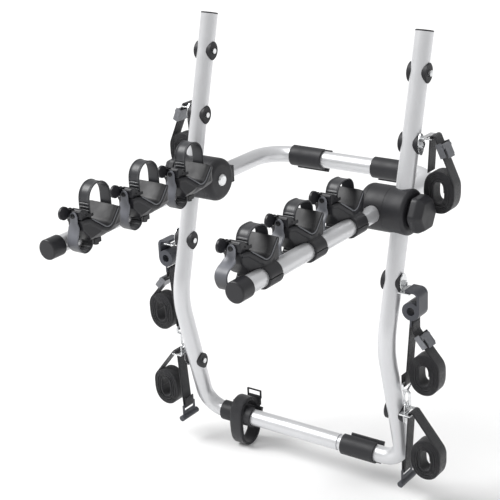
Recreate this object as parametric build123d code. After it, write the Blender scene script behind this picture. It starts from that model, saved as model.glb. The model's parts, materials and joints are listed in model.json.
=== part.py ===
from build123d import *
import math
import os

# A bike rack that straps to a car's boot lid. Two bent side tubes stand on the car's rear,
# an upper frame folds out to the lid, and two arms fold out to carry the bikes.
# Everything is drawn about the hub line, the common axis of both folding hubs:
# X runs along it to the right, Y points to the car, Z is up. Each finished piece is then
# moved so that the origin is the middle of the four feet, on the plane where they touch the car.
# Lengths are in millimetres and angles in degrees. "Outboard" is away from a side tube's
# centre, to the outside of the rack.

# Main frame
tube_dia = 30.0
tube_wall = 1.8
side_spread = 424.0
side_above = 285.0
side_below = 222.0
side_lean = 15.4
leg_length = 249.0
leg_lean = 14.0
knee_radius = 130.0
corner_radius = 41.0
bar_joint_x = 81.0
bar_joint_step = 3.0
bar_overlap = 60.0
swage_length = 15.0
plug_flange = 2.5
plug_depth = 18.0
fit_gap = 0.05
part_gap = 0.3
cut_over = 2.0

# Hubs
hub_radius = 38.0
hub_edge = 6.0
clamp_outside = 20.0
clamp_inside = 17.2
arm_disc_end = 51.5
dome_end = 65.0
dome_edge = 11.0
hub_bolt_radius = 5.0
hub_head_radius = 11.0
hub_head_height = 5.0
hub_head_round = 4.0
hub_head_sink = 2.0
knob_radius = 33.5
knob_length = 28.0
knob_collar_radius = 24.0
knob_collar_length = 5.0
knob_corner = 9.0
knob_bevel_in = 6.5
knob_bevel_along = 12.0
knob_sides = 6
nut_recess = 4.0

# Upper frame
upper_spread = 347.0
upper_reach = 186.0
upper_corner = 52.0
upper_start = 43.0
flange_thickness = 3.4
lug_root = 12.0
lug_inset = 5.5
spigot_depth = 32.0

# Arms
arm_spread = 355.0
arm_tube_dia = 28.0
arm_reach = 408.0
arm_start = 9.0
cap_length = 27.0
cap_wall = 2.6
cap_edge = 2.5

# Bike cradles
cradle_first = 92.0
cradle_least_pitch = 112.0
cradle_end = 78.0
cradle_offset = 28.2
saddle_width = 62.0
saddle_nose_width = 31.0
saddle_front = 41.0
saddle_back = 35.0
saddle_top = 48.0
nose_top = 43.0
saddle_bottom = 4.0
saddle_taper_start = 12.0
saddle_side_round = 12.0
saddle_top_round = 8.0
saddle_edge_round = 3.0
trough_front = 30.0
trough_back = 26.0
trough_low = 17.0
trough_round = 14.0
foot_front = 26.0
foot_back = 20.0
shoulder_front = 26.0
shoulder_back = 14.0
liner_thickness = 3.0
liner_overhang = 1.2
liner_lip = 4.0
ring_wall = 4.0
ring_width = 32.0
lug_width = 15.0
lug_thickness = 8.0
lug_reach = 33.2
clamp_screw_radius = 2.5
clamp_screw_head = 4.6
clamp_screw_head_height = 3.0
clamp_screw_depth = 12.0

# Toothed straps over the bike's tube. The tail's corners are shares of tail_size.
strap_width = 22.5
strap_thickness = 3.0
strap_front = 18.0
strap_room = 0.4
strap_anchor = 31.0
strap_anchor_low = 34.0
strap_tip_width = 15.0
strap_tip_low = 37.0
strap_tip_high = 54.5
strap_tip_round = 6.0
tail_size = 100.0
tall_loop_rise = 95.0
tall_loop_radius = 24.0
low_loop_rise = 68.0
low_loop_radius = 17.5
tall_tail_shares = [(-0.54, 0.02), (-0.36, -0.15)]
tall_bend_shares = [0.34, 0.13, 0.09, 0.08]
low_tail_shares = [(-0.77, 0.20), (-0.64, -0.09)]
low_bend_shares = [0.14, 0.13, 0.12, 0.09]
short_tail_shares = [(-0.59, 0.17), (-0.50, -0.06)]
short_bend_shares = [0.10, 0.08, 0.08, 0.09]
tail_start_share = 0.33
tail_end_share = -0.08

# Ratchet buckles
buckle_width = 29.0
buckle_wall = 2.2
buckle_front = 42.0
buckle_back = 14.6
buckle_high = 58.0
buckle_rear_high = 50.0
buckle_lip = 2.5
buckle_rear = 3.0
front_plate_left = 6.4
lever_pivot_y = 31.0
lever_pivot_z = 51.0
lever_hub_radius = 5.0
lever_pin_radius = 1.6
lever_nose = 8.0
lever_nose_height = 3.0
lever_plate = 4.0
lever_plate_half = 4.6
ear_y = 54.5
ear_z = 54.5
ear_radius = 10.5
lever_side_gap = 0.4
tip_screw_radius = 1.8
tip_screw_head = 3.6
tip_screw_head_height = 2.2
tip_screw_z = 48.5

# Pads
pad_length = 66.0
pad_wall = 4.0
pad_open_from = 38.0
pad_open_to = 104.0
foot_out = 24.0
foot_thickness = 5.0
foot_up = 19.0
foot_down = 21.0
foot_edge = 1.6
web_up = 7.0
web_down = 15.0
upper_pad_x = 86.0
lower_pad_left_x = 137.5
lower_pad_right_x = 124.0

# Bolts through the side tubes
bolt_heights = [221.0, 109.0, -115.0]
leg_bolt_down = 139.0
bolt_radius = 3.0
bolt_head_radius = 4.6
bolt_head_height = 2.6
bolt_tip = 1.0
washer_reach = 17.5
washer_depth = 8.0
washer_half_width = 12.0
washer_half_height = 16.5
washer_tip = 3.0
nut_height = 4.0
nut_radius = 5.6
nut_sides = 6

# Strap brackets
bracket_thickness = 2.0
bracket_half_width = 10.5
bracket_half_height = 19.0
bracket_tip = 4.0
ledge_rise = 10.0
ledge_half_width = 18.0
slot_half_length = 13.6
slot_from = 26.0
bar_from = 33.0
bar_to = 38.0
ear_from = 22.5
ear_height = 17.6
ear_half_width = 9.0
ear_hole_rise = 9.0
ear_hole_radius = 5.0
top_bracket_shift = 16.2

# Webbing and its rolls
web_width = 25.0
web_thickness = 1.4
web_bend = 6.0
web_tab = 20.0
coil_inner_radius = 9.0
coil_step = 1.0
coil_half_turns = 18
coil_straight = 17.0
coil_end_run = 8.0
top_coil_out = 47.4
top_coil_drop = 77.0
low_coil_out = 63.0
low_coil_drop = 66.0
mid_coil_out = 61.0
mid_coil_drop = 149.0
mid_strap_fall = 18.0
top_tail_out = 28.0
top_tail_drop = 47.0

# Trunk hooks, hung on the middle brackets
hook_width = 30.0
hook_wall = 4.6
hook_bend = 9.0
hook_lip = 29.0
roll_out = 39.0
roll_drop = 40.0
roll_radius = 15.5
roll_bore = 7.0
tail_plate = 3.0
tail_slot_top = 16.6
tail_slot_low = 22.0
tail_plate_low = 26.0

# Cam buckles
cam_frame_half = 12.0
cam_frame_wall = 1.6
cam_frame_height = 8.0
cam_side_gap = 0.6
cam_pivot_up = 5.0
cam_radius = 4.6
cam_lever_length = 20.0
cam_lever_wall = 2.0
cam_lever_half = 9.5
cam_pin_radius = 1.5
cam_place_top = 26.0
cam_place_mid = 20.0

# Snap hooks, clipped to the lower brackets
snap_wire = 2.2
snap_radius = 5.0
snap_height = 18.0
snap_tip = 4.0
snap_stub = 1.5
snap_eye_half = 15.5
snap_eye_rise = 16.0
snap_eye_post = 9.0
gate_wire = 1.5

# Foot hooks
foot_hook_out = 22.0
foot_hook_drop = 119.0
foot_hook_radius = 5.5
foot_hook_length = 46.0
foot_plate_wall = 2.4
foot_plate_half = 17.5
foot_slot_low = 12.0
foot_slot_top = 20.0
foot_plate_top = 24.0

# Loose strap rolled round the left foot's sleeve
loose_inner_radius = 24.5
loose_half_turns = 6
loose_straight = 35.0
loose_shift_y = 6.3
loose_drop = 13.0
loose_x = 131.0
loose_rise = 34.0
end_buckle_width = 31.0
end_buckle_height = 14.0
end_buckle_wall = 2.4
end_buckle_bar = 2.0
end_buckle_thickness = 3.0

# Worked out from the sizes above
tube_radius = tube_dia / 2
arm_tube_radius = arm_tube_dia / 2
half_spread = side_spread / 2
arm_x = arm_spread / 2
upper_x = upper_spread / 2
buckle_half = buckle_width / 2
cradle_span = arm_reach - cradle_end - cradle_first
cradle_count = 1 + int(cradle_span / cradle_least_pitch)
cradle_pitch = cradle_span / max(cradle_count - 1, 1)
ring_radius = arm_tube_radius + ring_wall
tip_y = -buckle_front - part_gap - strap_thickness / 2
bracket_face = washer_reach + bracket_thickness
slot_half = strap_width / 2 + strap_room
slot_depth = strap_thickness / 2 + strap_room
ledge_top = ledge_rise + bracket_thickness / 2
coil_outer_radius = coil_inner_radius + coil_half_turns * coil_step
lean_sin = math.sin(math.radians(side_lean))
lean_cos = math.cos(math.radians(side_lean))
leg_sin = math.sin(math.radians(leg_lean))
leg_cos = math.cos(math.radians(leg_lean))
knee_y = -side_below * lean_sin
knee_z = -side_below * lean_cos
bar_y = knee_y + leg_length * leg_sin
bar_z = knee_z - leg_length * leg_cos

# The plane that touches the car is a tangent to the feet of both crossbars
rest_rise = math.hypot(upper_reach - bar_y, bar_z)
rest_sin = (upper_reach - bar_y) / rest_rise
rest_cos = -bar_z / rest_rise
rest_angle = math.degrees(math.atan2(rest_sin, rest_cos))
origin_y = (upper_reach + bar_y) / 2 + foot_out * rest_cos
origin_z = bar_z / 2 - foot_out * rest_sin


def save(name, shape):
    """Write one node, moved from the hub line to the middle of the feet."""
    export_step(Pos(0, -origin_y, -origin_z) * shape, "parts/" + name + ".step")


def together(pieces):
    """Several separate solids of one node."""
    return Compound(children=[solid for piece in pieces for solid in piece.solids()])


def rod(axis, radius, start, end, at=(0, 0)):
    """A round bar from start to end along X, Y or Z; at gives its two other coordinates."""
    bar = Cylinder(radius, abs(end - start))
    middle = (start + end) / 2
    if axis == "X":
        return Pos(middle, at[0], at[1]) * Rot(0, 90, 0) * bar
    if axis == "Y":
        return Pos(at[0], middle, at[1]) * Rot(90, 0, 0) * bar
    return Pos(at[0], at[1], middle) * bar


def block(x, y, z):
    """A box between two limits on each axis."""
    size = Box(abs(x[1] - x[0]), abs(y[1] - y[0]), abs(z[1] - z[0]))
    return Pos((x[0] + x[1]) / 2, (y[0] + y[1]) / 2, (z[0] + z[1]) / 2) * size


def side_profile(face, start, end):
    """Extrude a face drawn on (Y, Z) from x = start to x = end."""
    plane = Plane(origin=(min(start, end), 0, 0), x_dir=(0, 1, 0), z_dir=(1, 0, 0))
    return extrude(plane * face, amount=abs(end - start))


def front_profile(face, middle, width):
    """Extrude a face drawn on (X, Z) evenly to both sides of y = middle."""
    plane = Plane(origin=(0, middle + width / 2, 0), x_dir=(1, 0, 0), z_dir=(0, -1, 0))
    return extrude(plane * face, amount=width)


def outline(*points):
    """A face with straight sides."""
    return make_face(Polyline(*points, close=True))


def lens(half_width, half_height, tip):
    """An upright pointed oval with rounded tips."""
    radius = (half_width ** 2 + half_height ** 2) / (2 * half_width)
    face = Pos(radius - half_width, 0) * Circle(radius) & Pos(half_width - radius, 0) * Circle(radius)
    return fillet(face.vertices(), tip)


def on_side(side, shape):
    """Place a shape drawn with x as the distance outboard of the right side tube."""
    placed = Pos(half_spread, 0, 0) * shape
    return placed if side > 0 else mirror(placed, about=Plane.YZ)


def unit(start, end):
    """Direction from one point to the next, and their distance."""
    dx = end[0] - start[0]
    dy = end[1] - start[1]
    length = math.hypot(dx, dy)
    return (dx / length, dy / length), length


def runs_and_arcs(points, radii):
    """A line with rounded corners, as straight runs and tangent arcs.

    A run is its two ends and direction; an arc is its centre, radius, first angle and turn.
    """
    pieces = []
    here = points[0]
    for number in range(1, len(points) - 1):
        corner = points[number]
        into, _ = unit(points[number - 1], corner)
        out, _ = unit(corner, points[number + 1])
        turn = math.atan2(into[0] * out[1] - into[1] * out[0], into[0] * out[0] + into[1] * out[1])
        radius = radii[number - 1]
        cut = radius * math.tan(abs(turn) / 2)
        sense = math.copysign(1, turn)
        start = (corner[0] - into[0] * cut, corner[1] - into[1] * cut)
        centre = (start[0] - into[1] * sense * radius, start[1] + into[0] * sense * radius)
        first = math.atan2(start[1] - centre[1], start[0] - centre[0])
        pieces.append(("run", here, start, into))
        pieces.append(("arc", centre, radius, first, turn))
        here = (corner[0] + out[0] * cut, corner[1] + out[1] * cut)
    last, _ = unit(points[-2], points[-1])
    pieces.append(("run", here, points[-1], last))
    return pieces


def band_side(pieces, shift):
    """One side of a strap seen edge on: its middle line moved to the left by shift."""
    side = []
    for piece in pieces:
        if piece[0] == "arc":
            _, centre, radius, first, turn = piece
            reach = radius - shift * math.copysign(1, turn)
            angles = (first, first + turn / 2, first + turn)
            side.append([(centre[0] + reach * math.cos(a), centre[1] + reach * math.sin(a)) for a in angles])
        else:
            _, start, end, along = piece
            step = (-along[1] * shift, along[0] * shift)
            if math.hypot(end[0] - start[0], end[1] - start[1]) > fit_gap:
                side.append([(start[0] + step[0], start[1] + step[1]), (end[0] + step[0], end[1] + step[1])])
    for number in range(1, len(side)):
        side[number][0] = side[number - 1][-1]
    return side


def edge_through(points):
    """A line through two points or an arc through three."""
    return Line(*points) if len(points) == 2 else ThreePointArc(*points)


def band(points, radii, thickness):
    """The face of a strap seen edge on, drawn along a line with rounded corners."""
    pieces = runs_and_arcs(points, radii)
    left = band_side(pieces, thickness / 2)
    right = band_side(pieces, -thickness / 2)
    edges = [edge_through(part) for part in left]
    edges.append(Line(left[-1][-1], right[-1][-1]))
    edges += [edge_through(part[::-1]) for part in reversed(right)]
    edges.append(Line(right[0][0], left[0][0]))
    return make_face(Wire(edges))


def winding(outer_radius, half_turns, straight, step, end_run):
    """Corner points and radii of an oval winding that starts at its right side, going down.

    Each half turn is smaller than the last by one step. The lower half turns are centred on
    zero and the upper ones a step to the left, so every run meets its arcs.
    """
    points = []
    radii = []
    x = outer_radius
    radius = outer_radius
    low = True
    for _ in range(half_turns):
        across = x - 2 * radius if low else x + 2 * radius
        z = -straight / 2 - radius if low else straight / 2 + radius
        points += [(x, z), (across, z)]
        radii += [radius, radius]
        x = across
        radius -= step
        low = not low
    points.append((x, end_run - straight / 2 if low else straight / 2 - end_run))
    return points, radii


def least_gap(points, radii, thickness):
    """Least clear gap of a strap to itself and its length, both measured along its middle line."""
    samples = []
    travelled = 0
    for piece in runs_and_arcs(points, radii):
        parts = 24 if piece[0] == "arc" else 8
        for part in range(parts):
            if piece[0] == "arc":
                _, centre, radius, first, turn = piece
                length = radius * abs(turn)
                angle = first + turn * part / parts
                spot = (centre[0] + radius * math.cos(angle), centre[1] + radius * math.sin(angle))
            else:
                _, start, end, along = piece
                length = math.hypot(end[0] - start[0], end[1] - start[1])
                reach = length * part / parts
                spot = (start[0] + along[0] * reach, start[1] + along[1] * reach)
            samples.append((travelled + length * part / parts, spot))
        travelled += length
    near = min(radii) * 2
    least = travelled
    for number, (where, spot) in enumerate(samples):
        for other, place in samples[number + 1:]:
            if other - where > near:
                least = min(least, math.hypot(spot[0] - place[0], spot[1] - place[1]))
    return least - thickness, travelled


def side_point(along):
    """(y, z) of a point on a side tube's upper run, measured up from the hub line."""
    return along * lean_sin, along * lean_cos


def leg_point(along):
    """(y, z) of a point on a side tube's lower leg, measured down from the knee."""
    return knee_y + along * leg_sin, knee_z - along * leg_cos


def bolt_places():
    """(y, z, tilt) of each bolt through a side tube, from the top down."""
    places = [(*side_point(height), -side_lean) for height in bolt_heights]
    places.append((*leg_point(leg_bolt_down), leg_lean))
    return places


def swept_tube(points, radii, outer_radius, wall):
    """A hollow tube along straight runs joined by tangent arcs."""
    path = FilletPolyline(*points, radius=radii)
    start = Plane(origin=path @ 0, z_dir=path % 0)
    solid = sweep(start * Circle(outer_radius), path=path)
    core = sweep(start * Circle(outer_radius - wall), path=path)
    return solid - core


def side_tube(side):
    """A side tube: upper run, knee, lower leg, corner and its part of the bottom bar.

    The right tube ends in a swaged spigot that slides into the left tube.
    """
    x = side * half_spread
    end = bar_joint_x + bar_joint_step if side > 0 else bar_joint_x
    top_y, top_z = side_point(side_above)
    points = [(x, top_y, top_z), (x, knee_y, knee_z), (x, bar_y, bar_z), (end, bar_y, bar_z)]
    tube = swept_tube(points, [knee_radius, corner_radius], tube_radius, tube_wall)
    if side > 0:
        inner = tube_radius - tube_wall
        at = (bar_y, bar_z)
        swage = rod("X", inner, end, end + swage_length, at)
        spigot = rod("X", inner - fit_gap, end + swage_length, bar_joint_x - bar_overlap, at)
        bore = rod("X", inner - tube_wall, end + swage_length + cut_over,
                   bar_joint_x - bar_overlap - cut_over, at)
        tube = tube + swage + spigot - bore
    for y, z, _ in bolt_places():
        tube -= rod("X", bolt_radius + fit_gap, x - tube_dia, x + tube_dia, (y, z))
    return tube - rod("X", hub_bolt_radius + fit_gap, x - tube_dia, x + tube_dia)


def tube_plug(side):
    """The flush plug in the top end of a side tube."""
    y, z = side_point(side_above)
    flange = Pos(0, 0, plug_flange / 2) * Cylinder(tube_radius, plug_flange)
    flange = fillet(flange.edges().group_by(Axis.Z)[-1], plug_flange / 2)
    stub = Pos(0, 0, -plug_depth / 2) * Cylinder(tube_radius - tube_wall - fit_gap, plug_depth)
    return Pos(side * half_spread, y, z) * Rot(-side_lean, 0, 0) * (flange + stub)


def barrel(side, near, far, edge_near, edge_far):
    """A length of hub about the X axis, from near to far inboard of the side tube's centre."""
    body = rod("X", hub_radius, side * (half_spread - near), side * (half_spread - far))
    outboard, inboard = (-1, 0) if side > 0 else (0, -1)
    if edge_near:
        body = fillet(body.edges().filter_by(GeomType.CIRCLE).sort_by(Axis.X)[outboard], edge_near)
    if edge_far:
        body = fillet(body.edges().filter_by(GeomType.CIRCLE).sort_by(Axis.X)[inboard], edge_far)
    return body


def hub_clamp(side):
    """The fixed part of a hub: a barrel that the side tube passes through."""
    x = side * half_spread
    body = barrel(side, -clamp_outside, clamp_inside, hub_edge, 0)
    bore = Pos(x, 0, 0) * Rot(-side_lean, 0, 0) * Cylinder(tube_radius + fit_gap, hub_radius * 3)
    return body - bore - rod("X", hub_bolt_radius + fit_gap, x - hub_radius, x + hub_radius)


def arm_socket(side):
    """The turning part of a hub that grips an arm's tube."""
    x = side * half_spread
    body = barrel(side, clamp_inside + part_gap, arm_disc_end, 0, 0)
    bore = rod("Y", arm_tube_radius + fit_gap, -arm_start, -hub_radius * 2, (side * arm_x, 0))
    return body - bore - rod("X", hub_bolt_radius + fit_gap, x - side * dome_end, x)


def upper_socket(side):
    """The hub's domed end: it turns with the upper frame and plugs into its tube."""
    x = side * half_spread
    inner = x - side * (arm_disc_end + part_gap)
    outer = x - side * dome_end
    dome = barrel(side, arm_disc_end + part_gap, dome_end, 0, dome_edge)
    recess = rod("X", hub_head_radius + part_gap, outer + side * hub_head_sink, outer - side * cut_over)
    flange_start = upper_start - flange_thickness
    lug = block((inner, outer + side * lug_inset), (lug_root, upper_start), (-tube_radius, tube_radius))
    neck = block((inner, side * upper_x), (flange_start, upper_start), (-tube_radius, tube_radius))
    flange = rod("Y", tube_radius, flange_start, upper_start, (side * upper_x, 0))
    spigot = rod("Y", tube_radius - tube_wall - fit_gap, flange_start, upper_start + spigot_depth,
                 (side * upper_x, 0))
    socket = dome + lug + flange + neck + spigot - recess
    return socket - rod("X", hub_bolt_radius + fit_gap, outer, x)


def hub_bolt(side):
    """The long bolt that clamps a hub together, with a domed head at the inner end."""
    x = side * half_spread
    seat = x - side * (dome_end - hub_head_sink)
    shank = rod("X", hub_bolt_radius, seat, x + side * (clamp_outside + knob_length - nut_recess))
    head = rod("X", hub_head_radius, seat, seat - side * hub_head_height)
    rim = head.edges().filter_by(GeomType.CIRCLE).sort_by(Axis.X)[0 if side > 0 else -1]
    return shank + fillet(rim, hub_head_round)


def hub_knob(side):
    """The faceted hand knob on a hub's outer end, with a blind thread for the bolt."""
    start = side * (half_spread + clamp_outside + part_gap)
    collar_end = start + side * knob_collar_length
    end = start + side * knob_length
    collar = rod("X", knob_collar_radius, start, collar_end + side * cut_over)
    grip = side_profile(RegularPolygon(knob_radius, knob_sides), collar_end, end)
    grip = fillet(grip.edges().filter_by(Axis.X), knob_corner)
    rim = grip.faces().sort_by(Axis.X)[-1 if side > 0 else 0]
    grip = chamfer(rim.edges(), knob_bevel_in, knob_bevel_along, reference=rim)
    bore = rod("X", hub_bolt_radius + fit_gap, start - side * cut_over, end - side * nut_recess / 2)
    return collar + grip - bore


def upper_tube():
    """The bent tube of the upper frame: two legs and the crossbar that meets the boot lid."""
    points = [(-upper_x, upper_start, 0), (-upper_x, upper_reach, 0), (upper_x, upper_reach, 0),
              (upper_x, upper_start, 0)]
    return swept_tube(points, [upper_corner, upper_corner], tube_radius, tube_wall)


def pad(x, y, z):
    """A sleeve snapped on a crossbar, open at its top, with a flat foot towards the car."""
    outer = tube_radius + pad_wall
    reach = outer * 3
    first = math.radians(pad_open_from)
    last = math.radians(pad_open_to)
    wedge = outline((0, 0), (reach * math.cos(first), reach * math.sin(first)),
                    (reach * math.cos(last), reach * math.sin(last)))
    foot = RectangleRounded(foot_thickness, foot_up + foot_down, foot_edge)
    foot = Pos(foot_out - foot_thickness / 2, (foot_up - foot_down) / 2) * foot
    web = Pos((tube_radius + foot_out) / 2, (web_up - web_down) / 2) * Rectangle(
        foot_out - tube_radius - foot_edge, web_up + web_down)
    section = Circle(outer) - wedge + foot + web - Circle(tube_radius + fit_gap)
    body = side_profile(section, -pad_length / 2, pad_length / 2)
    return Pos(x, y, z) * Rot(-rest_angle, 0, 0) * body


def arm_tube(side):
    """A straight arm tube."""
    bar = rod("Y", arm_tube_radius, -arm_start - fit_gap, -arm_reach, (side * arm_x, 0))
    return bar - rod("Y", arm_tube_radius - tube_wall, 0, -arm_reach - cut_over, (side * arm_x, 0))


def arm_cap(side):
    """The cap pushed over an arm's free end."""
    end = -arm_reach - cap_wall
    body = rod("Y", arm_tube_radius + cap_wall, end + cap_length, end, (side * arm_x, 0))
    body = fillet(body.edges().filter_by(GeomType.CIRCLE).sort_by(Axis.Y)[0], cap_edge)
    return body - rod("Y", arm_tube_radius + fit_gap, 0, -arm_reach - fit_gap, (side * arm_x, 0))


def cradle_places(side):
    """(saddle centre x, arm x, cradle centre y) of each cradle, from the hub outwards."""
    for number in range(cradle_count):
        yield side * (arm_x - cradle_offset), side * arm_x, -cradle_first - cradle_pitch * number


def trough_line(shift):
    """The trough's three corners, front to back, moved into the trough by shift."""
    front = (-trough_front, nose_top)
    back = (trough_back, saddle_top)
    low = (0, trough_low)
    to_front, _ = unit(low, front)
    to_back, _ = unit(low, back)
    across = math.hypot(to_front[0] + to_back[0], to_front[1] + to_back[1])
    bisector = ((to_front[0] + to_back[0]) / across, (to_front[1] + to_back[1]) / across)
    half_angle = math.acos(to_front[0] * bisector[0] + to_front[1] * bisector[1])
    reach = shift / math.sin(half_angle)
    moved_front = (front[0] + to_front[1] * shift, front[1] - to_front[0] * shift)
    moved_back = (back[0] - to_back[1] * shift, back[1] + to_back[0] * shift)
    return moved_front, (low[0] + bisector[0] * reach, low[1] + bisector[1] * reach), moved_back


def corner_near(face, place):
    """The corner of a face that lies nearest to a place."""
    return face.vertices().sort_by(lambda v: math.hypot(v.X - place[0], v.Y - place[1]))[0]


def cradle_plan(half_width, front):
    """A cradle seen from above: narrow at the nose, wide over the arm."""
    nose = saddle_nose_width / 2
    face = outline((-nose, -front), (nose, -front), (half_width, -saddle_taper_start),
                   (half_width, saddle_back), (-half_width, saddle_back), (-half_width, -saddle_taper_start))
    wide = [corner for corner in face.vertices() if abs(corner.X) > nose]
    return extrude(fillet(wide, saddle_side_round), amount=saddle_top * 2)


def strap_slot(y, low):
    """The upright slot that the toothed strap passes through."""
    return block((-slot_half, slot_half), (y - slot_depth, y + slot_depth), (low, saddle_top * 2))


def saddle(x, ring_x, y):
    """The hard saddle with the upper half of its clamp ring."""
    face = outline((-saddle_front, nose_top), (-trough_front, nose_top), (0, trough_low),
                   (trough_back, saddle_top), (saddle_back, saddle_top), (saddle_back, shoulder_back),
                   (foot_back, saddle_bottom), (-foot_front, saddle_bottom), (-saddle_front, shoulder_front))
    face = fillet(corner_near(face, (0, trough_low)), trough_round)
    face = fillet(corner_near(face, (saddle_back, saddle_top)), saddle_top_round)
    for corner in ((-saddle_front, nose_top), (-saddle_front, shoulder_front), (saddle_back, shoulder_back)):
        face = fillet(corner_near(face, corner), saddle_edge_round)
    half = saddle_width / 2
    body = side_profile(face, -half, half) & cradle_plan(half, saddle_front)
    body = body - strap_slot(-strap_front, -saddle_top)
    body = Pos(x, y, 0) * (body - strap_slot(strap_anchor, strap_anchor_low - fit_gap))
    collar = rod("Y", ring_radius, y - ring_width / 2, y + ring_width / 2, (ring_x, 0))
    upper = block((ring_x - ring_radius, ring_x + ring_radius), (y - ring_width, y + ring_width),
                  (part_gap / 2, ring_radius))
    inboard = math.copysign(1, x - ring_x)
    boss = block((ring_x, ring_x + inboard * lug_reach), (y - lug_width / 2, y + lug_width / 2),
                 (part_gap / 2, clamp_screw_depth))
    body = body + (collar & upper) + boss
    body -= rod("Y", arm_tube_radius + fit_gap, y - saddle_front * 2, y + saddle_front * 2, (ring_x, 0))
    return body - rod("Z", clamp_screw_radius + fit_gap, -cut_over, clamp_screw_depth + fit_gap, (x, y))


def saddle_liner(x, y):
    """The soft liner in a saddle's trough."""
    front, low, back = trough_line(fit_gap + liner_thickness / 2)
    down, _ = unit(front, low)
    start = (front[0] + down[0] * liner_lip, front[1] + down[1] * liner_lip)
    face = band([start, low, back], [trough_round - fit_gap - liner_thickness / 2], liner_thickness)
    half_width = saddle_width / 2 + liner_overhang
    body = side_profile(face, -half_width, half_width) & cradle_plan(half_width, saddle_front)
    return Pos(x, y, 0) * (body - strap_slot(-strap_front, -saddle_top))


def clamp_half(x, ring_x, y):
    """The lower half of a cradle's clamp ring, with its screw lug."""
    inboard = math.copysign(1, x - ring_x)
    collar = rod("Y", ring_radius, y - ring_width / 2, y + ring_width / 2, (ring_x, 0))
    lower = block((ring_x - ring_radius, ring_x + ring_radius), (y - ring_width, y + ring_width),
                  (-ring_radius, -part_gap / 2))
    lug = block((ring_x, ring_x + inboard * lug_reach), (y - lug_width / 2, y + lug_width / 2),
                (-lug_thickness, -part_gap / 2))
    body = (collar & lower) + lug
    body -= rod("Y", arm_tube_radius + fit_gap, y - ring_width, y + ring_width, (ring_x, 0))
    return body - rod("Z", clamp_screw_radius + fit_gap, -lug_thickness - cut_over, cut_over, (x, y))


def clamp_screw(x, y):
    """The screw that closes a cradle's clamp ring from below."""
    shank = rod("Z", clamp_screw_radius, -lug_thickness, clamp_screw_depth, (x, y))
    head = rod("Z", clamp_screw_head, -lug_thickness - clamp_screw_head_height, -lug_thickness, (x, y))
    return shank + head


def bike_strap(side, number, x, y):
    """The strap that loops over a bike's tube, through the buckle and back to the buckle's front."""
    tall = side < 0
    shares, bends = (tall_tail_shares, tall_bend_shares) if tall else (low_tail_shares, low_bend_shares)
    if not tall and number < cradle_count - 1:
        shares, bends = short_tail_shares, short_bend_shares
    rise = tall_loop_rise if tall else low_loop_rise
    loop = tall_loop_radius if tall else low_loop_radius
    points = [(tip_y, strap_tip_high), (tip_y, tail_start_share * tail_size)]
    points += [(share * tail_size, height * tail_size) for share, height in shares]
    points += [(-strap_front, tail_end_share * tail_size), (-strap_front, rise), (strap_anchor, rise),
               (strap_anchor, strap_anchor_low)]
    radii = [bend * tail_size for bend in bends] + [loop, loop]
    body = side_profile(band(points, radii, strap_thickness), -strap_width / 2, strap_width / 2)
    tip = RectangleRounded(strap_tip_width, (strap_tip_high - strap_tip_low) * 2, strap_tip_round)
    waste = Pos(0, strap_tip_high) * Rectangle(strap_width * 2, (strap_tip_high - strap_tip_low) * 2)
    waste = waste - Pos(0, strap_tip_low) * tip
    body = body - front_profile(waste, tip_y, strap_thickness * 2)
    hole = rod("Y", tip_screw_radius + fit_gap, tip_y - strap_thickness, tip_y + strap_thickness,
               (0, tip_screw_z))
    return Pos(x, y, 0) * (body - hole)


def buckle(x, y):
    """The ratchet's frame: two cheeks, a front plate and a rear wall on the saddle's nose."""
    inner = buckle_half - buckle_wall
    lip_end = -buckle_front + buckle_lip
    under = nose_top - cut_over
    over = buckle_high + cut_over
    body = block((-buckle_half, buckle_half), (-buckle_front, -buckle_back), (nose_top, buckle_high))
    pocket = block((-inner, inner), (lip_end, -buckle_back - buckle_rear), (under, over))
    pocket += block((-inner, inner), (lip_end, -buckle_back + cut_over), (buckle_rear_high, over))
    sight = block((-inner, inner), (-buckle_front - cut_over, lip_end + cut_over),
                  (buckle_high - buckle_lip, over))
    passage = block((-inner, -front_plate_left), (-buckle_front - cut_over, lip_end + cut_over),
                    (under, over))
    pin = rod("X", lever_pin_radius + fit_gap, -buckle_width, buckle_width, (-lever_pivot_y, lever_pivot_z))
    screw = rod("Y", tip_screw_radius + fit_gap, -buckle_front - cut_over, lip_end + cut_over,
                (0, tip_screw_z))
    return Pos(x, y, 0) * (body - pocket - sight - passage - strap_slot(-strap_front, under) - pin - screw)


def release_lever(x, y):
    """The ratchet's lever: a hub on its pin, a nose towards the strap and a round thumb ear."""
    half = buckle_half - buckle_wall - lever_side_gap
    pivot = (-lever_pivot_y, lever_pivot_z)
    hub = rod("X", lever_hub_radius, -half, half, pivot)
    nose = block((-half, half), (-lever_pivot_y, lever_nose - lever_pivot_y),
                 (lever_pivot_z - lever_nose_height / 2, lever_pivot_z + lever_nose_height / 2))
    direction, reach = unit(pivot, (-ear_y, ear_z))
    angle = math.degrees(math.atan2(direction[1], direction[0]))
    middle = ((-lever_pivot_y - ear_y) / 2, (lever_pivot_z + ear_z) / 2)
    arm = Pos(*middle) * Rot(0, 0, angle) * Rectangle(reach, lever_plate_half * 2)
    plate = side_profile(arm + Pos(-ear_y, ear_z) * Circle(ear_radius), -half, lever_plate - half)
    bore = rod("X", lever_pin_radius + fit_gap, -buckle_half, buckle_half, pivot)
    return Pos(x, y, 0) * (hub + nose + plate - bore)


def lever_pin(x, y):
    """The pin that a ratchet lever turns on."""
    return rod("X", lever_pin_radius, x - buckle_half, x + buckle_half, (y - lever_pivot_y, lever_pivot_z))


def tip_screw(x, y):
    """The screw that holds a toothed strap's tip to the buckle's front plate."""
    seat = y + tip_y - strap_thickness / 2
    shank = rod("Y", tip_screw_radius, y - buckle_front + buckle_lip, seat, (x, tip_screw_z))
    head = rod("Y", tip_screw_head, seat, seat - tip_screw_head_height, (x, tip_screw_z))
    return shank + head


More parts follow.
